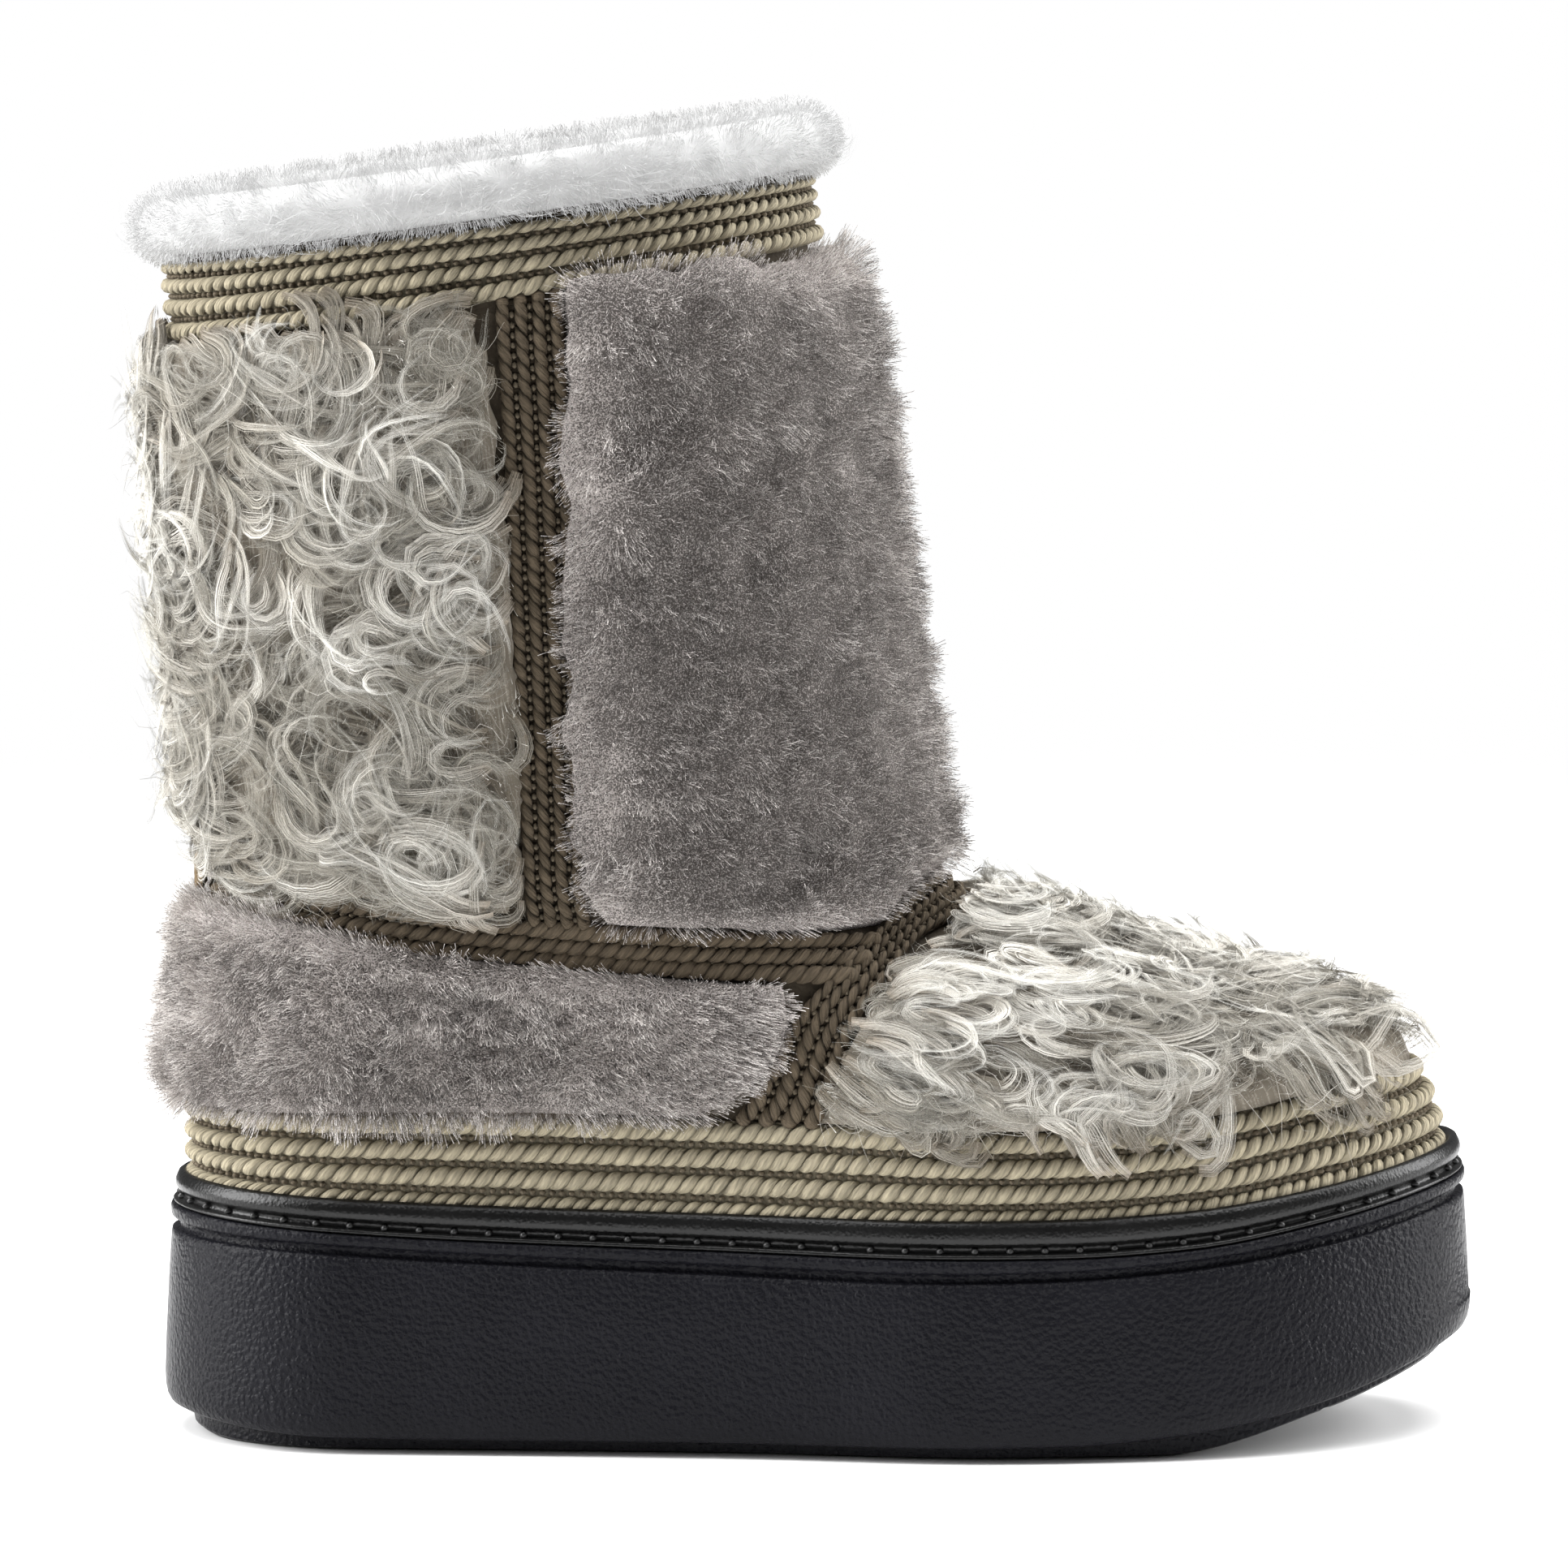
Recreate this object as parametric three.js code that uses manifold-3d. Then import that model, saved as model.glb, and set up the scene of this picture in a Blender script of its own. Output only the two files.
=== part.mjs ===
// A right-foot platform boot with fur and rope trims, in millimetres.
// Frame: +X to the toe, +Y to the inner side of the foot, +Z up. The sole stands on z = 0.
// A station is a distance from the back end of the sole; a turn runs 0 to 1 round the boot,
// from the back (0) by the outer side (0.25) and the front (0.5) to the inner side (0.75).
import * as THREE from "three";
import Module from "manifold-3d";

const SOLE_LENGTH = 280;
const GAP = 0.3; // clearance between pieces that meet
const LAY = 1; // clearance between the upper and what is laid on its curves
const WALL = 2.5; // wall of the upper
const SEAT_INSET = 8.5; // from the edge of the sole in to the upper
const TOE_SWING = 8; // the toe leans this far to the inner side
const SWING_START = 150; // station where that lean begins
const BAND_LEVEL = 2; // level line at the top of the lower rope band
const ROPE_DEPTH = 4;
const ROPE_VALLEY = 0.5; // share of that depth left between two ropes
const COLLAR_LEVEL = 15; // level line under the collar band
const CUFF_LEVEL = 16; // level line under the cuff

// Half widths of the sole seen from above.
const OUTLINE = [
  { at: 0, outer: 38, inner: 37 },
  { at: 45, outer: 40.5, inner: 38.5 },
  { at: 120, outer: 45.5, inner: 40 },
  { at: 176, outer: 52.8, inner: 48 },
  { at: 205, outer: 51.5, inner: 51 },
  { at: 280, outer: 46, inner: 44 },
];
const HEEL_CAP = 40; // length of the rounded heel end
const TOE_CAP = 78; // length of the rounded toe end
const TOE_POWER = 2.3; // a power over 2 makes that end blunter than an ellipse

// Heights along the side: lower edge, groove, top of the outsole, top of the rand.
const SIDE = [
  { at: 0, bottom: 6, groove: 44.6, top: 48.8, rand: 56 },
  { at: 32, bottom: 3.6, groove: 43.6, top: 47.1, rand: 54.4 },
  { at: 60, bottom: 3.2, groove: 42.1, top: 45.6, rand: 53.2 },
  { at: 109, bottom: 3.2, groove: 40.3, top: 44, rand: 51.9 },
  { at: 161, bottom: 3.2, groove: 39, top: 42.9, rand: 51.1 },
  { at: 190, bottom: 3.4, groove: 39.4, top: 43, rand: 51.3 },
  { at: 217, bottom: 5.4, groove: 41.2, top: 44.4, rand: 52.6 },
  { at: 247, bottom: 11, groove: 45.2, top: 48.9, rand: 56.5 },
  { at: 280, bottom: 22, groove: 52, top: 55.6, rand: 63 },
];
// Height of the top of the lower rope band.
const BAND_TOP = [
  { at: 0, z: 71 },
  { at: 54, z: 72.3 },
  { at: 138, z: 70.8 },
  { at: 180, z: 69.4 },
  { at: 223, z: 71.9 },
  { at: 249, z: 76.6 },
  { at: 268, z: 78.5 },
];
// Underside of the tread: heel bevel, ground, toe spring.
const GROUND = [
  { at: 0, z: 3.2 },
  { at: 16, z: 0 },
  { at: 212, z: 0 },
  { at: 247, z: 8 },
  { at: 280, z: 19.5 },
];

// Level lines of the upper from its seat on the sole to its top edge: stations of the back and front
// ends, their heights, and the share of the rope band's own curve that is kept between them.
const LEVEL_LINES = [
  { level: 0, back: 8.5, front: 271.5, zBack: 48.4, zFront: 54, sag: 1 },
  { level: 1, back: 8, front: 270, zBack: 60, zFront: 66.5, sag: 1 },
  { level: 2, back: 8, front: 264.5, zBack: 71.1, zFront: 78.3, sag: 1 },
  { level: 3, back: 8, front: 256, zBack: 77, zFront: 81.8, sag: 0.8 },
  { level: 4, back: 8.2, front: 243, zBack: 83, zFront: 86, sag: 0.6 },
  { level: 5, back: 8.6, front: 226, zBack: 89, zFront: 91, sag: 0.45 },
  { level: 6, back: 9.5, front: 207, zBack: 95.5, zFront: 97.3, sag: 0.3 },
  { level: 7, back: 10.8, front: 188, zBack: 102.5, zFront: 104.3, sag: 0.2 },
  { level: 8, back: 12.2, front: 173, zBack: 110, zFront: 111, sag: 0.1 },
  { level: 9, back: 13.4, front: 163.5, zBack: 118, zFront: 118.5, sag: 0 },
  { level: 10, back: 13.2, front: 158, zBack: 128, zFront: 129, sag: 0 },
  { level: 11, back: 11.5, front: 154.5, zBack: 142, zFront: 146, sag: 0 },
  { level: 12, back: 9.6, front: 151, zBack: 160, zFront: 167, sag: 0 },
  { level: 13, back: 7.8, front: 147, zBack: 184, zFront: 195, sag: 0 },
  { level: 14, back: 6.2, front: 142.5, zBack: 210, zFront: 226, sag: 0 },
  { level: 15, back: 5.1, front: 137.7, zBack: 232, zFront: 252.5, sag: 0 },
  { level: 16, back: 3.8, front: 136, zBack: 249, zFront: 267, sag: 0 },
  { level: 17, back: 3.4, front: 135.4, zBack: 255, zFront: 273, sag: 0 },
];
// Plan of each level line: half width of the shaft, the share of it against the sole's outline, and
// the lengths of the rounded ends with the power of the front one.
const LEVEL_PLANS = [
  { level: 0, half: 40, shaft: 0, backCap: 33, frontCap: 72, power: 2.3 },
  { level: 1, half: 40, shaft: 0, backCap: 33, frontCap: 72, power: 2.3 },
  { level: 2, half: 40, shaft: 0.05, backCap: 33, frontCap: 72, power: 2.25 },
  { level: 3, half: 41, shaft: 0.15, backCap: 34, frontCap: 74, power: 2.15 },
  { level: 4, half: 41, shaft: 0.25, backCap: 35, frontCap: 78, power: 2.1 },
  { level: 5, half: 41, shaft: 0.4, backCap: 37, frontCap: 80, power: 2.05 },
  { level: 6, half: 41, shaft: 0.55, backCap: 40, frontCap: 80, power: 2 },
  { level: 7, half: 41, shaft: 0.7, backCap: 43, frontCap: 80, power: 2 },
  { level: 8, half: 41.5, shaft: 0.85, backCap: 47, frontCap: 78, power: 2 },
  { level: 9, half: 42, shaft: 0.95, backCap: 51, frontCap: 76, power: 2 },
  { level: 10, half: 42.5, shaft: 1, backCap: 55, frontCap: 75, power: 2 },
  { level: 11, half: 43.5, shaft: 1, backCap: 58, frontCap: 74, power: 2 },
  { level: 12, half: 45, shaft: 1, backCap: 60, frontCap: 73, power: 2 },
  { level: 13, half: 47, shaft: 1, backCap: 62, frontCap: 71, power: 2 },
  { level: 14, half: 49, shaft: 1, backCap: 64, frontCap: 68, power: 2 },
  { level: 15, half: 50, shaft: 1, backCap: 65, frontCap: 66, power: 2 },
  { level: 16, half: 50, shaft: 1, backCap: 65, frontCap: 66, power: 2 },
  { level: 17, half: 50, shaft: 1, backCap: 65, frontCap: 66, power: 2 },
];
const TOP_LEVEL = LEVEL_LINES.length - 1;
const UPPER_ROWS = [0, 1, 2, 3, 4, 5, 6, 7, 8, 9, 10, 11.5, 13, 15, TOP_LEVEL]; // level lines of its mesh

// Both edges of the instep strip, from the lower band (along 0) to the ridge of the instep (along 1).
const INSTEP = [
  { along: 0, backTurn: 0.232, backLevel: 2, frontTurn: 0.256, frontLevel: 2 },
  { along: 0.2, backTurn: 0.25, backLevel: 3.67, frontTurn: 0.274, frontLevel: 3.8 },
  { along: 0.4, backTurn: 0.284, backLevel: 5.5, frontTurn: 0.303, frontLevel: 5.35 },
  { along: 0.6, backTurn: 0.326, backLevel: 6.75, frontTurn: 0.342, frontLevel: 6.5 },
  { along: 0.8, backTurn: 0.4, backLevel: 8.23, frontTurn: 0.404, frontLevel: 7.62 },
  { along: 0.9, backTurn: 0.445, backLevel: 8.85, frontTurn: 0.45, frontLevel: 7.9 },
  { along: 1, backTurn: 0.5, backLevel: 9.1, frontTurn: 0.5, frontLevel: 8 },
];
// Upper and lower level of the ankle band from the back to its end at the instep strip.
const ANKLE = [
  { turn: 0, top: 9, bottom: 7.75 },
  { turn: 0.129, top: 8.99, bottom: 7.67 },
  { turn: 0.195, top: 8.66, bottom: 7.3 },
  { turn: 0.243, top: 8.34, bottom: 6.9 },
  { turn: 0.292, top: 8.07, bottom: 6.5 },
  { turn: 0.342, top: 7.8, bottom: 6.2 },
  { turn: 0.4, top: 7.6, bottom: 6 },
];
const INSTEP_CROWDING = 1.7; // power that draws the strip's sections together toward the ridge
// Turn of the ankle band's end, from its lower edge (across 0) to its upper one.
const ANKLE_END = [
  { across: 0, turn: 0.3 },
  { across: 1, turn: 0.358 },
];
// Lower edge of the front panel: along the ankle band, then up along the instep strip.
const FRONT_EDGE = [
  { turn: 0.25, level: 8.3 },
  { turn: 0.3, level: 8.02 },
  { turn: 0.35, level: 7.76 },
  { turn: 0.38, level: 7.95 },
  { turn: 0.41, level: 8.5 },
  { turn: 0.45, level: 8.95 },
  { turn: 0.5, level: 9.15 },
];
// Edges of the upright side strip, at its foot and at the collar band.
const SIDE_STRIP = { footBack: 0.226, footFront: 0.253, topBack: 0.253, topFront: 0.288 };
// Front edge of the heel panel and rear edge of the vamp panel, along the instep strip.
const HEEL_EDGE = [
  { across: 0, turn: 0.233 },
  { across: 0.4, turn: 0.255 },
  { across: 0.8, turn: 0.289 },
  { across: 1, turn: 0.313 },
];
const VAMP_EDGE = [
  { across: 0, turn: 0.255 },
  { across: 0.3, turn: 0.272 },
  { across: 0.57, turn: 0.302 },
  { across: 0.76, turn: 0.34 },
  { across: 0.94, turn: 0.402 },
  { across: 1, turn: 0.44 },
];
const VAMP_TOP = 7.72; // level line at the upper edge of the vamp panel

// Small clearances between neighbours on the upper: shares of a strip or panel, turns, and levels.
const STRIP_EDGE = 0.03; // share of a rope strip's width left free along each side
const STRIP_ENDS = { foot: 0.05, top: 0.03 }; // levels left free at the ends of the side strips
const BAND_EDGE = 0.02; // level left free at the edge of the lower and collar bands
const INSTEP_FOOT = 0.02; // share of the instep strip left free over the lower band
const SHAFT_FUR_EDGES = { foot: 0.006, top: 0.994, side: 0.002, backFoot: 0.02, frontFoot: 0.08 };
const HEEL_FUR_EDGES = { foot: 0.008, top: 0.99, side: 0.002 };
const VAMP_FUR_EDGES = { foot: 0.01, top: 0.995, side: 0.003 };

// Rows of the outsole's side from the tread up: inset from the outline, which height, and a rise.
const OUTSOLE_ROWS = [
  { inset: 2.2, from: "bottom", rise: 0 },
  { inset: 0.4, from: "bottom", rise: 2.2 },
  { inset: 0, from: "bottom", rise: 6 },
  { inset: 0.9, from: "groove", rise: -12 },
  { inset: 1.7, from: "groove", rise: -1.1 },
  { inset: 3, from: "groove", rise: -0.4 },
  { inset: 3, from: "groove", rise: 0.7 },
  { inset: 1.8, from: "groove", rise: 1.3 },
  { inset: 1.6, from: "top", rise: -0.6 },
  { inset: 2.2, from: "top", rise: 0 },
];
const TREAD_INSET = 6;
const TREAD_LAP = 1; // the tread pads reach this far into the platform
const WAIST = { from: 98, to: 126, height: 2.4 }; // raised part of the tread under the arch
const LUG_GROOVES = [34, 50, 66, 82, 142, 158, 174, 190, 206, 222, 238];
const LUG_GROOVE = { width: 4.5, depth: 2, slant: 0.22 };
const TREAD_LAND = 15; // rubber left at the edge of the sole beside each cut

// Section of the rand: inset from the sole's outline, or offset from the upper, with heights.
const RAND_OUTER = [
  { inset: 1.9, from: "top", rise: GAP },
  { inset: 1.8, from: "top", rise: 1.5 },
  { inset: 3.3, from: "top", rise: 2.7 },
  { inset: 2.6, from: "top", rise: 4.4 },
  { inset: 2.6, from: "rand", rise: -1.7 },
  { inset: 3.3, from: "rand", rise: 0 },
];
const RAND_LIP = 1; // drop from the top of the lip to its inner edge
const BAND_FOOT = 3; // the lower band starts this far below the top of the lip
const INSOLE = { thickness: 6, inset: WALL + 0.9, level: 0.1 };

// Section of the cuff about the top edge of the upper: out from its face, and up from the cuff level.
const CUFF_SECTION = [
  { out: LAY, up: 0.4 },
  { out: 5.2, up: 0.6 },
  { out: 8.4, up: 3.4 },
  { out: 9.2, up: 7 },
  { out: 7.4, up: 10.8 },
  { out: 2.6, up: 13 },
  { out: -3.6, up: 12.6 },
  { out: -8.2, up: 10 },
  { out: -9.4, up: 5.6 },
  { out: -7.6, up: 1 },
  { out: -WALL - LAY, up: -1.6 },
  { out: -WALL - LAY, up: 6.6 },
  { out: LAY, up: 6.6 },
];

// Fur panels: full depth, share of it lost by the upper edge, depth at the edge, width of the rolled
// edge, height of the clumps, clearance to the upper.
const BACK_FUR = { depth: 9.5, taper: 0, edge: 3.4, roll: 0.12, clump: 1.6, lay: LAY };
const FRONT_FUR = { depth: 13, taper: -0.08, edge: 7, roll: 0.06, clump: 0.5, lay: LAY };
const HEEL_FUR = { depth: 10.5, taper: 0, edge: 4.5, roll: 0.1, clump: 0.5, lay: LAY };
const VAMP_FUR = { depth: 12.5, taper: 0.35, edge: 3.4, roll: 0.12, clump: 1.6, lay: 1.5 };
const CLUMP_WAVES = { along: 5.5, across: 4.5, skew: 1.3 };
// A lock: its facets, radius at the root and share of it lost by the tip, flatness, length, and how far it
// arches out, starts below the panel's face and swings aside; lean is where its tip lies, in panel shares.
const LOCK = {
  sides: 4,
  steps: 3,
  radius: 5.5,
  taper: 0.75,
  flat: 0.8,
  length: 24,
  lift: 1.5,
  sink: 4,
  curl: 7,
  lean: { along: 0.02, across: -0.05 },
};
const BACK_LOCKS = { rows: 3, perRow: 4 };
const VAMP_LOCKS = { rows: 3, perRow: 4 };
// Where the locks root, in shares of their panel, and the shift of every other row.
const LOCK_FIELD = { left: 0.06, right: 0.94, foot: 0.22, top: 0.86, stagger: [0.65, 0.35] };

const PLATE = { width: 16, height: 8, thickness: 1.8, level: 9.25, out: ROPE_DEPTH + GAP };
const PLATE_NOTCH = { gap: 0.4, reach: 40 }; // room for the plate, cut out through the fur

const ROUND_COUNT = 40; // points round the upper and the sole
const COLLAR_COUNT = 32; // points round the collar band and the cuff

const RUBBER = { color: 0x1d1e21, roughness: 0.75, metalness: 0 };
const LEATHER = { color: 0x151515, roughness: 0.45, metalness: 0 };
const LINING = { color: 0xb9b3a8, roughness: 0.9, metalness: 0 };
const ROPE = { color: 0x6e6351, roughness: 0.95, metalness: 0 };
const WHITE_FUR = { color: 0xdcdad6, roughness: 1, metalness: 0 };
const CURLY_FUR = { color: 0xb3afa6, roughness: 1, metalness: 0 };
const SHORT_FUR = { color: 0x827b79, roughness: 1, metalness: 0 };
const DARK_METAL = { color: 0x2a2620, roughness: 0.35, metalness: 0.8 };

const mix = (a, b, share) => a + (b - a) * share;
const clamp01 = (value) => Math.min(1, Math.max(0, value));
const smooth = (value) => clamp01(value) ** 2 * (3 - 2 * clamp01(value));
const add = (p, q, scale = 1) => p.map((value, axis) => value + q[axis] * scale);
const subtract = (p, q) => add(p, q, -1);
const length = (p) => Math.hypot(...p);
const unit = (p) => p.map((value) => value / length(p));
const cross = (p, q) => [p[1] * q[2] - p[2] * q[1], p[2] * q[0] - p[0] * q[2], p[0] * q[1] - p[1] * q[0]];
const isOuter = (turn) => turn - Math.floor(turn) <= 0.5;

// Slopes that keep a cubic through the rows from overshooting.
function rowSlopes(steps, rises) {
  const slopes = rises.map((rise, i) => {
    const before = rises[i - 1];
    if (i === 0) return rise;
    if (before * rise <= 0) return 0;
    const first = 2 * steps[i] + steps[i - 1];
    const second = steps[i] + 2 * steps[i - 1];
    return (first + second) / (first / before + second / rise);
  });
  return [...slopes, rises.at(-1)];
}

// One column of a table as a smooth function of another column.
function curve(rows, key, column) {
  const steps = rows.slice(1).map((row, i) => row[key] - rows[i][key]);
  const rises = rows.slice(1).map((row, i) => (row[column] - rows[i][column]) / steps[i]);
  const slopes = rowSlopes(steps, rises);
  return (value) => {
    const place = Math.min(rows.at(-1)[key], Math.max(rows[0][key], value));
    const after = rows.findIndex((row) => row[key] > place);
    const i = after < 0 ? rows.length - 2 : after - 1;
    const t = (place - rows[i][key]) / steps[i];
    const start = rows[i][column] * (1 + 2 * t) + slopes[i] * steps[i] * t;
    const end = rows[i + 1][column] * (3 - 2 * t) - slopes[i + 1] * steps[i] * (1 - t);
    return start * (1 - t) ** 2 + end * t ** 2;
  };
}

// All columns of a table, each as a smooth function of the key column.
function curves(rows, key) {
  const columns = Object.keys(rows[0]).filter((column) => column !== key);
  return Object.fromEntries(columns.map((column) => [column, curve(rows, key, column)]));
}

const outline = curves(OUTLINE, "at");
const side = curves(SIDE, "at");
const bandTop = curve(BAND_TOP, "at", "z");
const ground = curve(GROUND, "at", "z");
const levels = { ...curves(LEVEL_LINES, "level"), ...curves(LEVEL_PLANS, "level") };
const instep = curves(INSTEP, "along");
const ankle = curves(ANKLE, "turn");
const ankleEnd = curve(ANKLE_END, "across", "turn");
const frontEdge = curve(FRONT_EDGE, "turn", "level");
const heelEdge = curve(HEEL_EDGE, "across", "turn");
const vampEdge = curve(VAMP_EDGE, "across", "turn");

const toX = (at) => at - SOLE_LENGTH / 2;
const toStation = (x) => x + SOLE_LENGTH / 2;
const turnShare = (turn) => (1 - Math.cos(2 * Math.PI * turn)) / 2;
const centreLine = (at) => TOE_SWING * clamp01((at - SWING_START) / (SOLE_LENGTH - SWING_START)) ** 2;
const halfWidth = (at, turn) => (isOuter(turn) ? outline.outer(at) : outline.inner(at));

// Share of the full width at a distance from a rounded end.
function roundedEnd(distance, cap, power) {
  return (1 - clamp01(1 - distance / cap) ** power) ** (1 / power);
}

function sideOf(at, width, turn) {
  return centreLine(at) + (isOuter(turn) ? -width : width);
}

function soleEdge(turn) {
  const at = SOLE_LENGTH * turnShare(turn);
  const ends = roundedEnd(at, HEEL_CAP, 2) * roundedEnd(SOLE_LENGTH - at, TOE_CAP, TOE_POWER);
  return [toX(at), sideOf(at, halfWidth(at, turn) * ends, turn), 0];
}

// A point on the sole's outline, moved in by an inset.
function soleInset(turn, inset) {
  const step = 1e-3;
  const ahead = subtract(soleEdge(turn + step), soleEdge(turn - step));
  return add(soleEdge(turn), unit(cross(ahead, [0, 0, 1])), -inset);
}

function levelHeight(level, at, share) {
  if (level <= BAND_LEVEL) return mix(side.top(at), bandTop(at), level / BAND_LEVEL);
  const chord = mix(bandTop(levels.back(level)), bandTop(levels.front(level)), share);
  const straight = mix(levels.zBack(level), levels.zFront(level), share);
  return straight + levels.sag(level) * (bandTop(at) - chord);
}

// The outside of the upper.
function upperPoint(level, turn) {
  const share = turnShare(turn);
  const back = levels.back(level);
  const front = levels.front(level);
  const at = mix(back, front, share);
  const half = mix(halfWidth(at, turn) - SEAT_INSET, levels.half(level), levels.shaft(level));
  const backEnd = roundedEnd(at - back, levels.backCap(level), 2);
  const frontEnd = roundedEnd(front - at, levels.frontCap(level), levels.power(level));
  return [toX(at), sideOf(at, half * backEnd * frontEnd, turn), levelHeight(level, at, share)];
}

function upperNormal(level, turn) {
  const step = 1e-3;
  const round = subtract(upperPoint(level, turn + step), upperPoint(level, turn - step));
  const above = upperPoint(Math.min(TOP_LEVEL, level + step), turn);
  const below = upperPoint(Math.max(0, level - step), turn);
  return unit(cross(round, subtract(above, below)));
}

const offUpper = (level, turn, out) => add(upperPoint(level, turn), upperNormal(level, turn), out);
const range = (count) => Array.from({ length: count }, (_, i) => i);
const midTurns = (count) => range(count).map((i) => (i + 0.5) / count);

// Triangles over both ends of a loft, joining point i to its mirror across the section.
function pairedCaps(count, last) {
  return range(count / 2 - 1).flatMap((i) => {
    const j = count - 1 - i;
    const start = [i, j, i + 1, i + 1, j, j - 1];
    return [...start, ...start.map((index) => last + index).reverse()];
  });
}

// A solid through sections with equal numbers of points, as a closed ring or with capped ends.
function loft(sections, closed) {
  const count = sections[0].length;
  const spans = closed ? sections.length : sections.length - 1;
  const faces = range(spans).flatMap((s) =>
    range(count).flatMap((i) => {
      const a = s * count + i;
      const b = s * count + ((i + 1) % count);
      const c = ((s + 1) % sections.length) * count + i;
      const d = ((s + 1) % sections.length) * count + ((i + 1) % count);
      return [a, b, c, b, d, c];
    }),
  );
  const ends = closed ? [] : pairedCaps(count, (sections.length - 1) * count);
  return facingOut(sections.flat(), [...faces, ...ends]);
}

function facingOut(points, faces) {
  const volume = range(faces.length / 3).reduce((sum, i) => {
    const [a, b, c] = faces.slice(3 * i, 3 * i + 3).map((index) => points[index]);
    const turned = cross(b, c);
    return sum + a[0] * turned[0] + a[1] * turned[1] + a[2] * turned[2];
  }, 0);
  const geometry = new THREE.BufferGeometry();
  geometry.setAttribute("position", new THREE.Float32BufferAttribute(points.flat(), 3));
  geometry.setIndex(volume < 0 ? [...faces].reverse() : faces);
  return geometry;
}

const wasm = await Module();
wasm.setup();

function toSolid(geometry) {
  const vertProperties = new Float32Array(geometry.getAttribute("position").array);
  const triVerts = new Uint32Array(geometry.index.array);
  return new wasm.Manifold(new wasm.Mesh({ numProp: 3, vertProperties, triVerts }));
}

function toGeometry(solid) {
  const mesh = solid.getMesh();
  const geometry = new THREE.BufferGeometry();
  geometry.setAttribute("position", new THREE.Float32BufferAttribute(mesh.vertProperties, 3));
  geometry.setIndex([...mesh.triVerts]);
  return geometry;
}

function boxSolid(size, matrix) {
  const geometry = new THREE.BoxGeometry(...size);
  geometry.deleteAttribute("normal");
  geometry.deleteAttribute("uv");
  return toSolid(mergeCorners(geometry.applyMatrix4(matrix)));
}

// A box comes with four corners a side; this keeps the eight that differ.
function mergeCorners(geometry) {
  const corners = new Map();
  const points = [];
  const place = geometry.getAttribute("position");
  const faces = [...geometry.index.array].map((index) => {
    const point = [place.getX(index), place.getY(index), place.getZ(index)];
    const key = point.map((value) => value.toFixed(4)).join();
    if (!corners.has(key)) corners.set(key, points.push(point) - 1);
    return corners.get(key);
  });
  return facingOut(points, faces);
}

// The platform, its tread pads fused under it and the lug grooves cut.
function outsole() {
  const platform = OUTSOLE_ROWS.map(({ inset, from, rise }) =>
    midTurns(ROUND_COUNT).map((turn) => {
      const [x, y] = soleInset(turn, inset);
      return [x, y, side[from](toStation(x)) + rise];
    }),
  );
  const treadRow = (height) =>
    midTurns(ROUND_COUNT).map((turn) => {
      const [x, y] = soleInset(turn, TREAD_INSET);
      return [x, y, height(toStation(x))];
    });
  const tread = loft([treadRow(ground), treadRow((at) => side.bottom(at) + TREAD_LAP)], false);
  const cuts = [...LUG_GROOVES.map(lugGroove), waistCut()];
  const pads = wasm.Manifold.difference([toSolid(tread), ...cuts]);
  return toGeometry(wasm.Manifold.union([toSolid(loft(platform, false)), pads]));
}

// Width of a cut in the tread that leaves rubber at both edges.
const cutWidth = (at) => 2 * (Math.min(outline.outer(at), outline.inner(at)) - TREAD_LAND);

function lugGroove(at) {
  const slope = (ground(at + 1) - ground(at - 1)) / 2;
  const size = [LUG_GROOVE.width, cutWidth(at), 4 * LUG_GROOVE.depth];
  const place = new THREE.Matrix4().makeTranslation(toX(at), centreLine(at), ground(at) - LUG_GROOVE.depth);
  const lean = new THREE.Matrix4().makeRotationY(-Math.atan(slope));
  const slant = new THREE.Matrix4().makeRotationZ(LUG_GROOVE.slant);
  return boxSolid(size, place.multiply(lean).multiply(slant));
}

function waistCut() {
  const middle = (WAIST.from + WAIST.to) / 2;
  const size = [WAIST.to - WAIST.from, cutWidth(middle), 2 * WAIST.height];
  return boxSolid(size, new THREE.Matrix4().makeTranslation(toX(middle), 0, 0));
}

// The level line of the upper's lower part that passes a height above the sole.
function lowLevel(at, z) {
  return (BAND_LEVEL * (z - side.top(at))) / (bandTop(at) - side.top(at));
}

function randSection(turn) {
  const outer = RAND_OUTER.map(({ inset, from, rise }) => {
    const [x, y] = soleInset(turn, inset);
    return [x, y, side[from](toStation(x)) + rise];
  });
  const at = toStation(upperPoint(0, turn)[0]);
  const lipFoot = side.rand(at) - BAND_FOOT - GAP;
  const lipTop = side.rand(at) - RAND_LIP;
  const clear = ROPE_DEPTH + GAP;
  const inner = [
    { out: clear, z: lipTop },
    { out: clear, z: lipFoot },
    { out: GAP, z: lipFoot },
    { out: GAP, z: side.top(at) + GAP },
  ];
  const hidden = inner.map(({ out, z }) => {
    const [x, y] = offUpper(lowLevel(at, z), turn, out);
    return [x, y, z];
  });
  return [...outer, ...hidden];
}

function insole() {
  const row = (rise) =>
    midTurns(ROUND_COUNT).map((turn) => {
      const [x, y] = offUpper(INSOLE.level, turn, -INSOLE.inset);
      return [x, y, side.top(toStation(x)) + GAP + rise];
    });
  return loft([row(0), row(INSOLE.thickness)], false);
}

function upper() {
  const section = (turn) => {
    const outside = UPPER_ROWS.map((level) => offUpper(level, turn, 0));
    const inside = UPPER_ROWS.map((level) => offUpper(level, turn, -WALL));
    outside[0][2] += GAP;
    inside[0][2] = outside[0][2];
    return [...outside, ...inside.reverse()];
  };
  return loft(midTurns(ROUND_COUNT).map(section), true);
}

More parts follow.
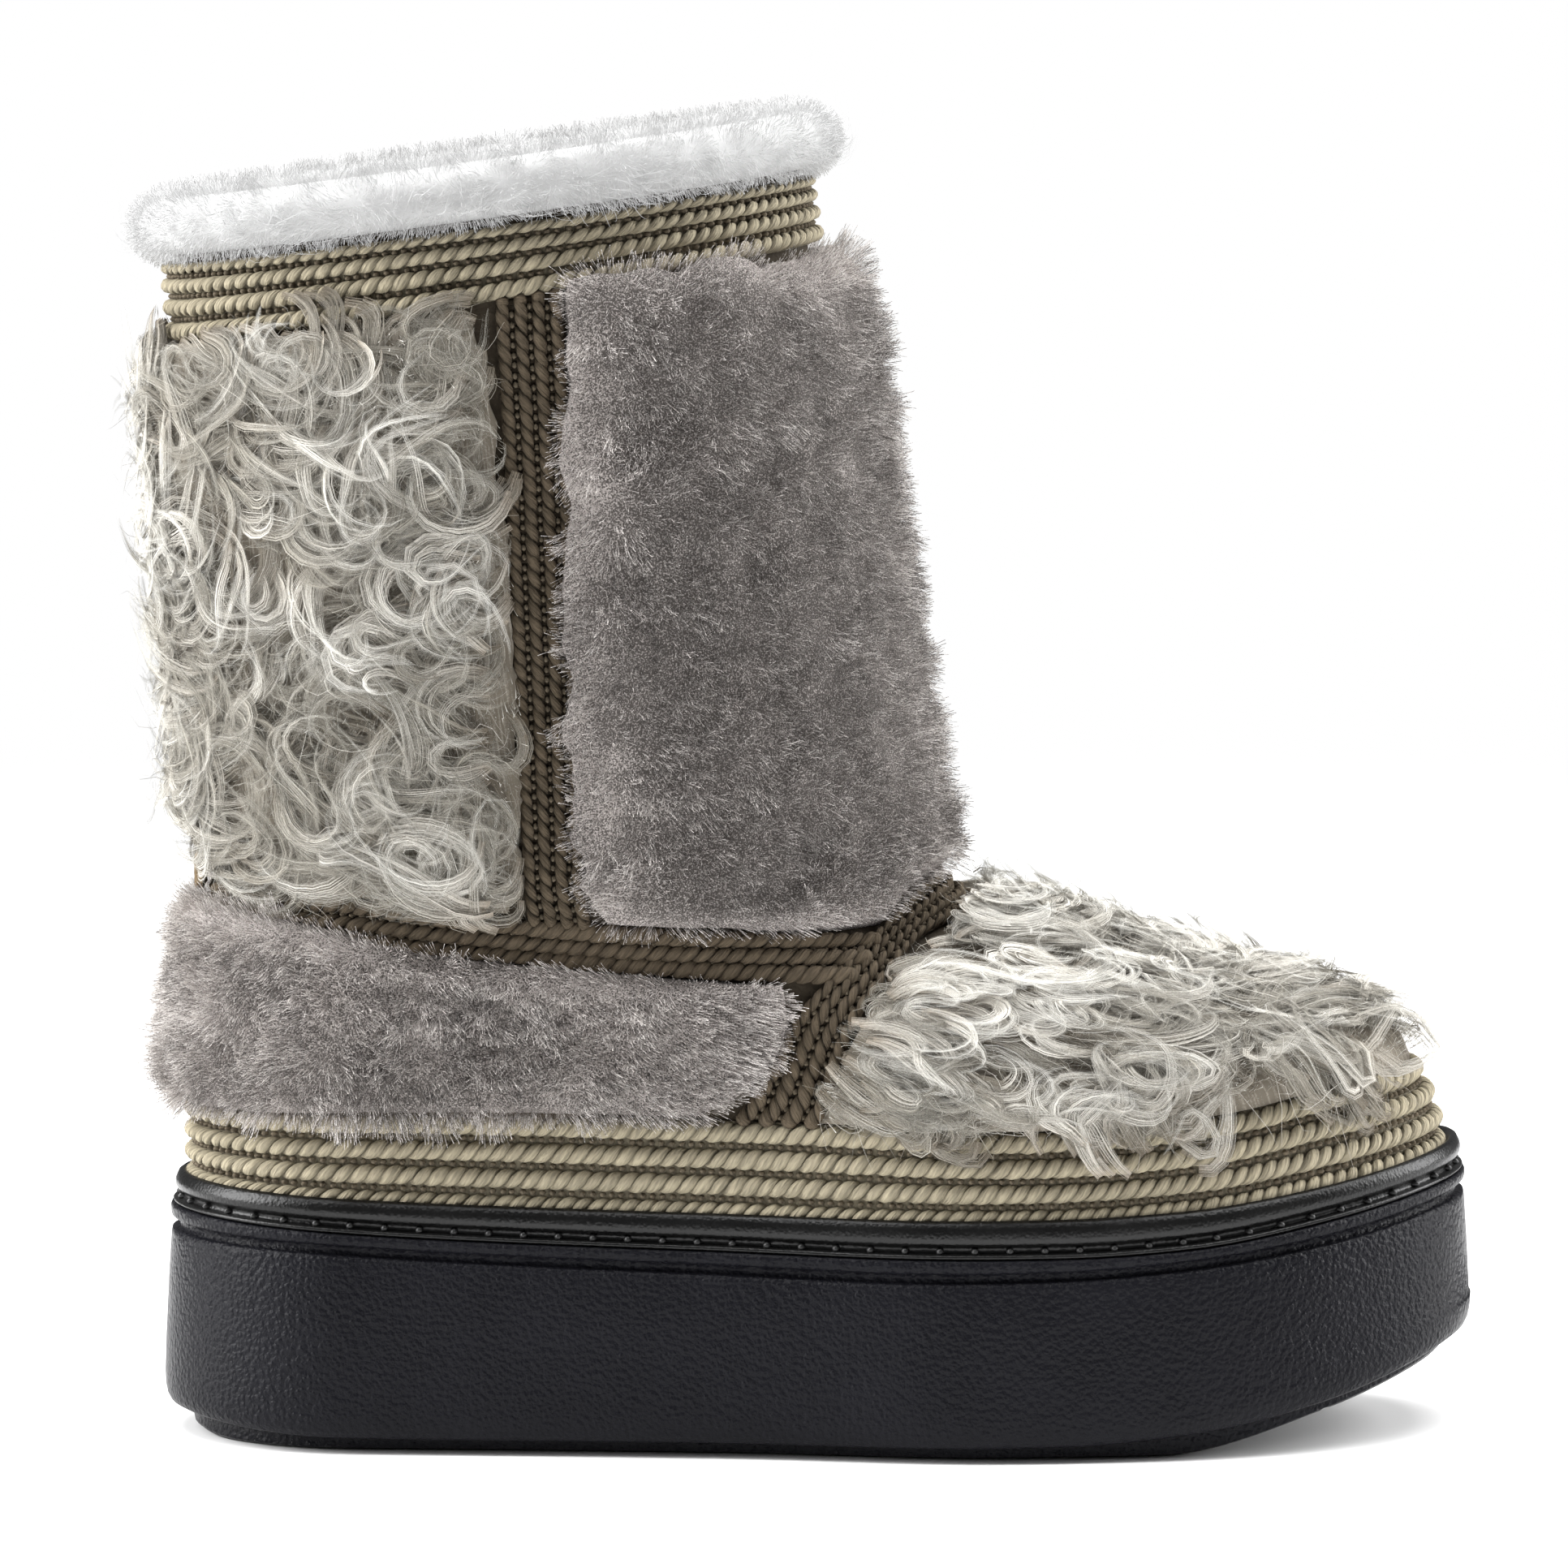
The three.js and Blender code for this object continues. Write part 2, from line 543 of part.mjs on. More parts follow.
function cuff() {
  const section = (turn) => {
    const foot = upperPoint(CUFF_LEVEL, turn);
    const up = unit(subtract(upperPoint(TOP_LEVEL, turn), foot));
    const out = upperNormal(CUFF_LEVEL, turn);
    return CUFF_SECTION.map((row) => add(add(foot, out, row.out), up, row.up));
  };
  return loft(midTurns(COLLAR_COUNT).map(section), true);
}

// Depth across a rope band: a rounded ridge for each rope.
function ropeProfile(ropes) {
  const ridge = (i) => (i % 2 ? ROPE_DEPTH : ROPE_DEPTH * ROPE_VALLEY);
  return range(2 * ropes + 1).map((i) => ({ across: i / (2 * ropes), depth: ridge(i) }));
}

// A rope band's section: ridges outside and, paired to them, a flat back on the upper.
function ropeSection(ropes, place) {
  const profile = ropeProfile(ropes);
  const front = profile.map(({ across, depth }) => offUpper(...place(across), depth));
  const back = profile.map(({ across }) => offUpper(...place(across), LAY));
  return [...front, ...back.reverse()];
}

// The same section with only a few points behind, for closed rings.
function ringSection(ropes, backPoints, place) {
  const front = ropeProfile(ropes).map(({ across, depth }) => offUpper(...place(across), depth));
  const back = range(backPoints).map((i) => offUpper(...place(1 - i / (backPoints - 1)), LAY));
  return [...front, ...back];
}

function lowerBandPlace(turn) {
  return (across) => {
    const at = toStation(upperPoint(1, turn)[0]);
    const foot = lowLevel(at, side.rand(at) - BAND_FOOT);
    return [mix(foot, BAND_LEVEL - BAND_EDGE, across), turn];
  };
}

function collarBandPlace(turn) {
  return (across) => [mix(COLLAR_LEVEL + BAND_EDGE, CUFF_LEVEL, across), turn];
}

function ankleBandPlace(along) {
  return (across) => {
    const turn = mix(-1, 1, along) * ankleEnd(across);
    const share = mix(STRIP_EDGE, 1 - STRIP_EDGE, across);
    return [mix(ankle.bottom(Math.abs(turn)), ankle.top(Math.abs(turn)), share), turn];
  };
}

// Sections of the instep strip lie closer together toward the ridge.
function instepPlace(along) {
  const half = mix(INSTEP_FOOT, 1, 1 - Math.abs(2 * along - 1) ** INSTEP_CROWDING);
  return (across) => {
    const share = mix(STRIP_EDGE, 1 - STRIP_EDGE, across);
    const turn = mix(instep.backTurn(half), instep.frontTurn(half), share);
    const level = mix(instep.backLevel(half), instep.frontLevel(half), share);
    return [level, along < 0.5 ? turn : 1 - turn];
  };
}

function sideStripPlace(isInner) {
  return (along) => (across) => {
    const share = mix(STRIP_EDGE, 1 - STRIP_EDGE, across);
    const foot = mix(SIDE_STRIP.footBack, SIDE_STRIP.footFront, share);
    const top = mix(SIDE_STRIP.topBack, SIDE_STRIP.topFront, share);
    const turn = mix(foot, top, along);
    const level = mix(ankle.top(turn) + STRIP_ENDS.foot, COLLAR_LEVEL - STRIP_ENDS.top, along);
    return [level, isInner ? 1 - turn : turn];
  };
}

function ropeStrip(ropes, count, placeAt) {
  return loft(range(count).map((i) => ropeSection(ropes, placeAt(i / (count - 1)))), false);
}

// Depth of a fur panel: a rolled edge and soft clumps.
function furDepth(fur, along, across) {
  const edgeShare = Math.min(along, 1 - along, across, 1 - across) / fur.roll;
  const body = mix(fur.edge, fur.depth * (1 - fur.taper * across), Math.sqrt(smooth(edgeShare)));
  const skewed = along + CLUMP_WAVES.skew * across;
  const ripple = Math.sin(2 * Math.PI * CLUMP_WAVES.along * skewed);
  const waves = ripple * Math.cos(2 * Math.PI * CLUMP_WAVES.across * across);
  return body + fur.clump * waves * smooth(edgeShare);
}

// Shares from 0 to 1 that lie closer together near both ends.
const crowded = (share) => mix(share, turnShare(share / 2), 0.5);

// A fur panel between its edges; the place function gives a level and a turn.
function furPanel(fur, counts, place) {
  const rows = range(counts.across).map((i) => crowded(i / (counts.across - 1)));
  const sections = range(counts.along).map((i) => {
    const along = i / (counts.along - 1);
    const face = rows.map((across) => offUpper(...place(along, across), furDepth(fur, along, across)));
    const back = rows.map((across) => offUpper(...place(along, across), fur.lay));
    return [...face, ...back.reverse()];
  });
  return loft(sections, false);
}

function backFurPlace(along, across) {
  const edges = SHAFT_FUR_EDGES;
  const up = mix(edges.foot, edges.top, across);
  const edge = mix(SIDE_STRIP.footBack, SIDE_STRIP.topBack, up) - edges.side;
  const turn = mix(-edge, edge, along);
  return [mix(ankle.top(Math.abs(turn)) + edges.backFoot, COLLAR_LEVEL, up), turn];
}

function frontFurPlace(along, across) {
  const edges = SHAFT_FUR_EDGES;
  const up = mix(edges.foot, edges.top, across);
  const edge = mix(SIDE_STRIP.footFront, SIDE_STRIP.topFront, up) + edges.side;
  const turn = mix(edge, 1 - edge, along);
  const near = Math.min(turn, 1 - turn);
  return [mix(frontEdge(near) + edges.frontFoot, COLLAR_LEVEL, up), turn];
}

function heelFurPlace(along, across) {
  const up = mix(HEEL_FUR_EDGES.foot, HEEL_FUR_EDGES.top, across);
  const turn = mix(-1, 1, along) * (heelEdge(up) - HEEL_FUR_EDGES.side);
  return [mix(BAND_LEVEL, ankle.bottom(Math.abs(turn)), up), turn];
}

function vampFurPlace(along, across) {
  const up = mix(VAMP_FUR_EDGES.foot, VAMP_FUR_EDGES.top, across);
  const edge = vampEdge(up) + VAMP_FUR_EDGES.side;
  return [mix(BAND_LEVEL, VAMP_TOP, up), mix(edge, 1 - edge, along)];
}

// One curled lock: a tapering, bending horn rooted in the panel.
function lock(fur, place, along, across, number) {
  const [level, turn] = place(along, across);
  const out = upperNormal(level, turn);
  const root = offUpper(level, turn, furDepth(fur, along, across) - LOCK.sink);
  const lean = number % 2 ? 1 : -1;
  const tip = upperPoint(...place(along + LOCK.lean.along * lean, across + LOCK.lean.across));
  const down = unit(subtract(tip, upperPoint(level, turn)));
  const wide = unit(cross(out, down));
  const sections = range(LOCK.steps + 1).map((step) => {
    const share = step / LOCK.steps;
    const run = LOCK.length * share;
    const arch = LOCK.lift * Math.sin(share * Math.PI);
    const rise = arch + LOCK.sink * (Math.sqrt(share) - share * share);
    const swing = lean * LOCK.curl * Math.sin(share * Math.PI);
    const middle = add(add(add(root, down, run), out, rise), wide, swing);
    const radius = LOCK.radius * (1 - LOCK.taper * share);
    return range(LOCK.sides).map((i) => {
      const angle = (2 * Math.PI * (i + 0.5)) / LOCK.sides;
      return add(add(middle, wide, radius * Math.cos(angle)), out, radius * LOCK.flat * Math.sin(angle));
    });
  });
  return toSolid(loft(sections, false));
}

function lockedPanel(fur, counts, place, grid) {
  const locks = range(grid.rows * grid.perRow).map((i) => {
    const row = Math.floor(i / grid.perRow);
    const column = (i % grid.perRow) + LOCK_FIELD.stagger[row % 2];
    const along = mix(LOCK_FIELD.left, LOCK_FIELD.right, column / grid.perRow);
    const across = mix(LOCK_FIELD.foot, LOCK_FIELD.top, row / (grid.rows - 1));
    return lock(fur, place, along, across, i);
  });
  return wasm.Manifold.union([toSolid(furPanel(fur, counts, place)), ...locks]);
}

// A frame on the back of the ankle: X across the boot, Y up, Z out.
function plateMatrix(out) {
  const normal = unit(upperNormal(PLATE.level, 0));
  const across = [0, -1, 0];
  const up = unit(cross(normal, across));
  const basis = [across, up, normal].map((axis) => new THREE.Vector3(...axis));
  const middle = offUpper(PLATE.level, 0, out);
  return new THREE.Matrix4().makeBasis(...basis).setPosition(...middle);
}

function plate() {
  const size = [PLATE.width, PLATE.height, PLATE.thickness];
  return toGeometry(boxSolid(size, plateMatrix(PLATE.out + PLATE.thickness / 2)));
}

// The back panel, with room left for the plate; a lock tip that this cuts off is dropped.
function backFur() {
  const panel = lockedPanel(BACK_FUR, { along: 17, across: 8 }, backFurPlace, BACK_LOCKS);
  const { gap, reach } = PLATE_NOTCH;
  const size = [PLATE.width + 2 * gap, PLATE.height + 2 * gap, reach];
  const notch = boxSolid(size, plateMatrix(PLATE.out - gap + reach / 2));
  const bodies = panel.subtract(notch).decompose();
  return toGeometry(bodies.reduce((most, body) => (body.volume() > most.volume() ? body : most)));
}

function vampFur() {
  return toGeometry(lockedPanel(VAMP_FUR, { along: 15, across: 8 }, vampFurPlace, VAMP_LOCKS));
}

function named(name, geometry, material) {
  const mesh = new THREE.Mesh(geometry, new THREE.MeshStandardMaterial(material));
  mesh.name = name;
  return mesh;
}

const ring = (count, section) => loft(midTurns(count).map(section), true);

const boot = new THREE.Group();
boot.name = "boot";
boot.add(
  named("outsole", outsole(), RUBBER),
  named("rand", ring(ROUND_COUNT, randSection), LEATHER),
  named("insole", insole(), LINING),
  named("upper", upper(), LEATHER),
  named("lower_rope_band", ring(ROUND_COUNT, (turn) => ringSection(4, 3, lowerBandPlace(turn))), ROPE),
  named("ankle_rope_band", ropeStrip(3, 17, ankleBandPlace), ROPE),
  named("instep_rope_strip", ropeStrip(4, 19, instepPlace), ROPE),
  named("side_rope_strip_outer", ropeStrip(4, 6, sideStripPlace(false)), ROPE),
  named("side_rope_strip_inner", ropeStrip(4, 6, sideStripPlace(true)), ROPE),
  named("collar_rope_band", ring(COLLAR_COUNT, (turn) => ringSection(4, 2, collarBandPlace(turn))), ROPE),
  named("collar_cuff", cuff(), WHITE_FUR),
  named("shaft_back_fur", backFur(), CURLY_FUR),
  named("shaft_front_fur", furPanel(FRONT_FUR, { along: 18, across: 9 }, frontFurPlace), SHORT_FUR),
  named("heel_fur", furPanel(HEEL_FUR, { along: 20, across: 6 }, heelFurPlace), SHORT_FUR),
  named("vamp_fur", vampFur(), CURLY_FUR),
  named("back_plate", plate(), DARK_METAL),
);

export default boot;
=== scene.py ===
import math

import bpy
import numpy as np
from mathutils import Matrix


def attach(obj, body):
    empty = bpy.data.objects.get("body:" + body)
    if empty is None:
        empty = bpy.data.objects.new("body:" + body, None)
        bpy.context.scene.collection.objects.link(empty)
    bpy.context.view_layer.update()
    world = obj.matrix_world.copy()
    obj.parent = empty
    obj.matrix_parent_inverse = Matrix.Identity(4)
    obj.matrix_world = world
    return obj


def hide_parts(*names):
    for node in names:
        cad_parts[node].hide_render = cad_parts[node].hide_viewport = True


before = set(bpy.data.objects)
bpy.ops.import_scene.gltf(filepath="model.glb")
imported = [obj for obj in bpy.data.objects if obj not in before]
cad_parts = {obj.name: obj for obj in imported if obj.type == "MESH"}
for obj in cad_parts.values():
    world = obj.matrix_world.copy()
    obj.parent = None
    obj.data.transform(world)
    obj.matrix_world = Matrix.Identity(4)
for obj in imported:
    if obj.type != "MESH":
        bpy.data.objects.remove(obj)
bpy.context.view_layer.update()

bl_info = {
    "name": "Fur platform boot",
    "version": (1, 0, 0),
    "blender": (4, 5, 0),
    "location": "3D View > Sidebar > Boot",
    "description": "Dresses the solids of a right-foot platform boot in rubber, leather, rope and fur",
    "category": "Object",
}

# All lengths below are in millimetres, in the frame of the part: +X to the toe, +Y to the inner side,
# +Z up. A station is a distance from the back end of the sole. A turn runs 0 to 1 round the boot,
# from the back (0) by the outer side (0.25) and the front (0.5) to the inner side (0.75). Level lines
# climb the upper from 0 to 17.
MM = 0.001
BODY = "root"

SOLE_LENGTH = 280.0
WALL = 2.5
SEAT_INSET = 8.5
TOE_SWING = 8.0
SWING_START = 150.0
BAND_LEVEL = 2.0
COLLAR_LEVEL = 15.0
CUFF_LEVEL = 16.0
TOP_LEVEL = 17.0
HEEL_CAP = 40.0
TOE_CAP = 78.0
TOE_POWER = 2.3

OUTLINE = {
    "at": (0, 45, 120, 176, 205, 280),
    "outer": (38, 40.5, 45.5, 52.8, 51.5, 46),
    "inner": (37, 38.5, 40, 48, 51, 44),
}
SIDE = {
    "at": (0, 32, 60, 109, 161, 190, 217, 247, 280),
    "bottom": (6, 3.6, 3.2, 3.2, 3.2, 3.4, 5.4, 11, 22),
    "groove": (44.6, 43.6, 42.1, 40.3, 39, 39.4, 41.2, 45.2, 52),
    "top": (48.8, 47.1, 45.6, 44, 42.9, 43, 44.4, 48.9, 55.6),
    "rand": (56, 54.4, 53.2, 51.9, 51.1, 51.3, 52.6, 56.5, 63),
}
BAND_TOP = {
    "at": (0, 54, 138, 180, 223, 249, 268),
    "z": (71, 72.3, 70.8, 69.4, 71.9, 76.6, 78.5),
}
GROUND = {"at": (0, 16, 212, 247, 280), "z": (3.2, 0, 0, 8, 19.5)}
LEVELS = {
    "level": tuple(range(18)),
    "back": (8.5, 8, 8, 8, 8.2, 8.6, 9.5, 10.8, 12.2, 13.4, 13.2, 11.5, 9.6, 7.8, 6.2, 5.1, 3.8, 3.4),
    "front": (
        271.5, 270, 264.5, 256, 243, 226, 207, 188, 173,
        163.5, 158, 154.5, 151, 147, 142.5, 137.7, 136, 135.4,
    ),
    "z_back": (
        48.4, 60, 71.1, 77, 83, 89, 95.5, 102.5, 110, 118, 128, 142, 160, 184, 210, 232, 249, 255,
    ),
    "z_front": (
        54, 66.5, 78.3, 81.8, 86, 91, 97.3, 104.3, 111, 118.5, 129, 146, 167, 195, 226, 252.5, 267, 273,
    ),
    "sag": (1, 1, 1, 0.8, 0.6, 0.45, 0.3, 0.2, 0.1, 0, 0, 0, 0, 0, 0, 0, 0, 0),
    "half": (40, 40, 40, 41, 41, 41, 41, 41, 41.5, 42, 42.5, 43.5, 45, 47, 49, 50, 50, 50),
    "shaft": (0, 0, 0.05, 0.15, 0.25, 0.4, 0.55, 0.7, 0.85, 0.95, 1, 1, 1, 1, 1, 1, 1, 1),
    "back_cap": (33, 33, 33, 34, 35, 37, 40, 43, 47, 51, 55, 58, 60, 62, 64, 65, 65, 65),
    "front_cap": (72, 72, 72, 74, 78, 80, 80, 80, 78, 76, 75, 74, 73, 71, 68, 66, 66, 66),
    "power": (2.3, 2.3, 2.25, 2.15, 2.1, 2.05, 2, 2, 2, 2, 2, 2, 2, 2, 2, 2, 2, 2),
}
INSTEP = {
    "along": (0, 0.2, 0.4, 0.6, 0.8, 0.9, 1),
    "back_turn": (0.232, 0.25, 0.284, 0.326, 0.4, 0.445, 0.5),
    "back_level": (2, 3.67, 5.5, 6.75, 8.23, 8.85, 9.1),
    "front_turn": (0.256, 0.274, 0.303, 0.342, 0.404, 0.45, 0.5),
    "front_level": (2, 3.8, 5.35, 6.5, 7.62, 7.9, 8),
}
ANKLE = {
    "turn": (0, 0.129, 0.195, 0.243, 0.292, 0.342, 0.4),
    "top": (9, 8.99, 8.66, 8.34, 8.07, 7.8, 7.6),
    "bottom": (7.75, 7.67, 7.3, 6.9, 6.5, 6.2, 6),
}
ANKLE_END = (0.318, 0.372)  # turn of the band's end at its lower and upper edge, under the instep strip
FRONT_EDGE = {
    "turn": (0.25, 0.3, 0.35, 0.38, 0.41, 0.45, 0.5),
    "level": (8.3, 8.02, 7.76, 7.95, 8.5, 8.95, 9.15),
}
STRIP_FOOT = (0.226, 0.253)  # turns of the side strip's two edges at its foot
STRIP_TOP = (0.253, 0.288)  # and under the collar
HEEL_EDGE = {"across": (0, 0.4, 0.8, 1), "turn": (0.233, 0.255, 0.289, 0.313)}
VAMP_EDGE = {
    "across": (0, 0.3, 0.57, 0.76, 0.94, 1),
    "turn": (0.255, 0.272, 0.302, 0.34, 0.402, 0.44),
}
VAMP_TOP = 7.72
BAND_FOOT = 3.0
PLATE = {"width": 16.0, "height": 8.0, "level": 9.25, "out": 4.3}

# Side of the outsole from the tread up: inset from the outline, the height it is measured from, the rise.
SOLE_ROWS = (
    (6.0, "bottom", 0.0),
    (2.2, "bottom", 0.0),
    (1.1, "bottom", 0.5),
    (0.45, "bottom", 1.7),
    (0.12, "bottom", 3.4),
    (0.0, "bottom", 6.0),
    (0.3, "groove", -24.0),
    (0.9, "groove", -12.0),
    (1.55, "groove", -2.4),
    (1.75, "groove", -1.5),
    (2.4, "groove", -1.1),
    (3.4, "groove", -0.9),
    (3.4, "groove", 0.8),
    (2.3, "groove", 1.0),
    (1.7, "groove", 1.3),
    (1.5, "groove", 1.9),
    (1.45, "top", -0.8),
    (1.7, "top", -0.2),
    (2.4, "top", 0.0),
    (9.0, "top", 0.0),
)
# Section of the rand from the sole's rim over the stitch channel to the rope.
RAND_ROWS = (
    (5.0, "top", 0.1),
    (2.2, "top", 0.2),
    (1.95, "top", 0.7),
    (2.3, "top", 1.1),
    (3.5, "top", 1.3),
    (3.9, "top", 1.9),
    (3.7, "top", 2.7),
    (2.9, "top", 3.1),
    (2.5, "top", 3.7),
    (2.4, "top", 4.6),
    (2.6, "rand", -2.0),
    (3.2, "rand", -0.7),
    (4.0, "rand", -0.1),
    (4.8, "rand", -0.3),
    (5.6, "rand", -2.2),
)
STITCH_ROW = (3.35, "top", 1.75)
TREAD_INSET = 6.0
LUG_GROOVES = (34, 50, 66, 82, 142, 158, 174, 190, 206, 222, 238)
LUG_GROOVE = {"width": 4.5, "depth": 2.0, "slant": 0.22, "soft": 0.8}
WAIST = (98.0, 126.0, 2.4)  # from, to and height of the raised tread under the arch
TREAD_LAND = 15.0  # rubber left at the edge beside each cut
TREAD_SOFT = 1.2  # width over which a cut fades in
TREAD_RIM = (0.8, 1.5)  # height and width of the tread's rounded edge
TREAD_LAP = 0.3  # how far the tread's wall reaches into the sole
STITCH = {"reach": 0.13, "dive": 0.9, "half_thick": 0.8}  # reach as a share of the stitches' spacing
ROUND = 288  # points round the sole and the rand
SLOPE_STEP = 1e-3  # part of a turn or a level over which a slope is measured

# Ropes. A ply is one bean-shaped length of yarn, and the ply's measures are shares of the rope's.
PLY_SWEEP = math.radians(112)  # how far round the rope a ply is modelled to each side
PLY_REACH = 1.25  # how far a ply runs along the rope while it turns by a radian
PLY_CORE = (0.52, 0.5)  # how far a ply's middle lies from the rope's, upward and sideways
PLY_THICK = 0.53
PLY_BROAD = 0.64  # as a share of the distance between two plies
PLY_UNEVEN = (0.86, 1.08)  # least and greatest fullness
PLY_FACE = 1.9  # half the angle of a ply's face that is modelled
PLY_SHIFT = 0.1  # how unevenly the plies are spaced
ROPE_RISE = 1.35  # height of the rope's middle over the upper
ROPE_HEIGHT = 2.5  # half height of the rope
ROPE_FILL = 0.84  # share of its row that a rope fills
ROPE_BED = 1.0  # height of the webbing under the ropes
# Breadth and height of a stitch, from its foot to its top.
BEAD_RINGS = ((1.0, 1.0), (0.82, 1.9), (0.05, 2.2))
BEAD_HALF = (0.75, 0.6)  # half size along the rope and across it
BEAD_SHIFT = 0.12
OPEN_BANDS = ("lower_band", "collar_band")  # the other ropes lie sunk between fur and take a darker copy of the rope colour, a painted shade

# Cuff roll about the top edge: middle and half sizes of its body, out from the upper and up from the
# cuff level.
CUFF_ROLL = {"out": 0.0, "up": 7.6, "half_out": 7.2, "half_up": 6.0}
# Hairs of the cuff: angles round the roll in half turns from its outside, count, length against the
# set one, seed.
CUFF_PILE = {"angles": (-0.4, 1.25), "count": 80000, "length": 0.34, "seed": 71}
CUFF_FRINGE = {"angles": (-0.3, -0.02), "count": 1500, "length": 1.0, "seed": 72}
CUFF_SWAY = (0.4, 7.0, 1)  # strength, size and seed of the tufts that lean together
CUFF_DROP = (0.4, 6.0, 2)
CUFF_SHADES = (0.12, 9.0, 4)
CUFF_DRIFT = (0.9, 24.0, 1)
CUFF_LEAN = 0.25  # how far single hairs lean
CUFF_LENGTHS = (0.5, 1.1)  # least and greatest length against the pile's or the fringe's
CUFF_TONE = (0.7, 0.16)  # middle and spread
CUFF_BODY = {"tip": 0.5, "tone": 0.6}

# Fur panels, in shares of the panel where no unit is given. Depth is the pile's full depth, taper the
# share of it lost by the upper edge, edge its depth at the panel's edge, roll the width of the rolled
# edge and splay how far hairs lean out there. Tone is how pale the panel's middle is, from about 0 to
# 1; the edge sheen and rim are how pale and how narrow its paler edges are, and ends how much paler it
# is at the boot's back or front: both are painted sheen of light grazing the fur. Ground is added to
# the tone of its undercoat, and below 0 it is painted shade deep under the hairs.
FRONT_FUR = {
    "depth": 13.0,
    "taper": -0.08,
    "edge": 7.5,
    "roll": 0.06,
    "splay": 1.3,
    "tone": -0.03,
    "edge_sheen": 1.15,
    "ends": 0.42,
    "rim": 0.72,
    "ground": -0.25,
    "hairs": 106000,
    "seed": 11,
}
HEEL_FUR = {
    "depth": 10.5,
    "taper": 0.0,
    "edge": 5.0,
    "roll": 0.1,
    "splay": 1.3,
    "tone": 0.68,
    "edge_sheen": 0.6,
    "ends": 0.3,
    "rim": 0.5,
    "ground": -0.25,
    "hairs": 78000,
    "seed": 31,
}
# Curly panels also have locks of a length against the curls' length, and loose hairs. Locks part from
# crowns, droop with the flow, an angle from the way round the boot, and stray from that. They bend by
# so many radians, flare out by so many millimetres and keep to these levels. In the notch, of a
# middle and a half width in turns, they keep up by so many levels, or reach down. The upper edge is
# paler by so much, painted light from above.
BACK_FUR = {
    "depth": 9.5,
    "taper": 0.0,
    "edge": 4.5,
    "roll": 0.12,
    "splay": 0.0,
    "tone": 0.16,
    "edge_sheen": 0.2,
    "ends": 0.46,
    "painted_light": 0.0,
    "rim": 0.5,
    "ground": -0.3,
    "locks": 760,
    "length": 1.0,
    "loose": 900,
    "crowns": 30,
    "flow": -1.57,
    "droop": 0.4,
    "stray": 0.25,
    "bend": (1.6, 4.8),
    "flare": (-2.0, 6.5),
    "levels": (8.6, 15.2),
    "notch": (0.0, 0.05, 1.1),
    "seed": 51,
}
VAMP_FUR = {
    "depth": 11.5,
    "taper": 0.3,
    "edge": 4.5,
    "roll": 0.12,
    "splay": 0.0,
    "tone": 0.37,
    "edge_sheen": 0.2,
    "ends": 0.1,
    "painted_light": 1.0,
    "rim": 0.5,
    "ground": -0.4,
    "locks": 740,
    "length": 0.78,
    "loose": 800,
    "crowns": 16,
    "flow": -0.7,
    "droop": 0.25,
    "stray": 0.3,
    "bend": (1.8, 5.0),
    "flare": (-1.0, 6.0),
    "levels": (1.5, 8.1),
    "notch": (0.5, 0.14, -0.5),
    "seed": 61,
}
CORNER_ROUND = 0.09
# Strength, number and shift of the waves along a cut edge.
RIPPLES = ((1.0, 38, 0.0), (0.7, 61, 1.3), (0.5, 103, 2.1))
# Turn and levels by which the front pile laps over its surroundings.
FRONT_REACH = {"side": 0.006, "top": 0.26, "front": -0.14}
FRONT_TURN = (0.3, 0.16)  # turn where the reach at the front begins, and over which it takes over
FRONT_RIPPLE = {"side": 0.004, "foot": 0.06, "top": 0.12}  # waves of its edges, in turns and levels
BACK_REACH = (1.01, 0.015)  # width of the back panel against its place, and the waves of its edges
HEEL_LAP = (5.5, 0.16)  # how far the heel pile laps up over the ankle ropes at the back, and over which turn
END_WIDTH = 0.1  # share of a panel that takes the painted sheen at the boot's back or front
EDGE_SHEEN_WAVES = (0.15, 9.0, 6)  # strength, size and seed of uneven patches in the painted edge sheen
TONE_WAVES = (0.16, 22.0, 7)
TUFT_TONE = (0.5, 2.4, 5)
TUFT_LENGTH = (0.22, 8.0, 3)
TUFT_LEANS = ((0.2, 15.0, 0), (0.22, 3.0, 40))
HAIR_LEAN = 0.22  # how far single hairs lean
HAIR_DROOP = 0.2
HAIR_LENGTH = (0.55, 1.15)  # least and greatest length against the panel's
HAIR_TONE = 0.36  # how much single hairs differ in tone
UNDERCOAT_WAVES = (0.05, 9.0, 5)
UNDERCOAT_HEM = 0.4  # depth of the undercoat's outermost edge
UNDERCOAT_TONE = 0.6  # how much of the hairs' tone the undercoat takes
UNDERCOAT_TIP = 0.4

# Pile over a panel's skin: depth of the undercoat and of the hairs' roots as shares of the pile's
# depth, and the fineness of the undercoat's own fibres.
SHORT_PILE = {"undercoat": 0.74, "fibres": 46.0, "root": 0.66, "width": 0.13}
WOOL_PILE = {
    "undercoat": 0.5,
    "fibres": 1.0,
    "root": 0.5,
    "width": 0.17,
    "hairs": 15000,
    "length": 4.6,
    "seed": 81,
}

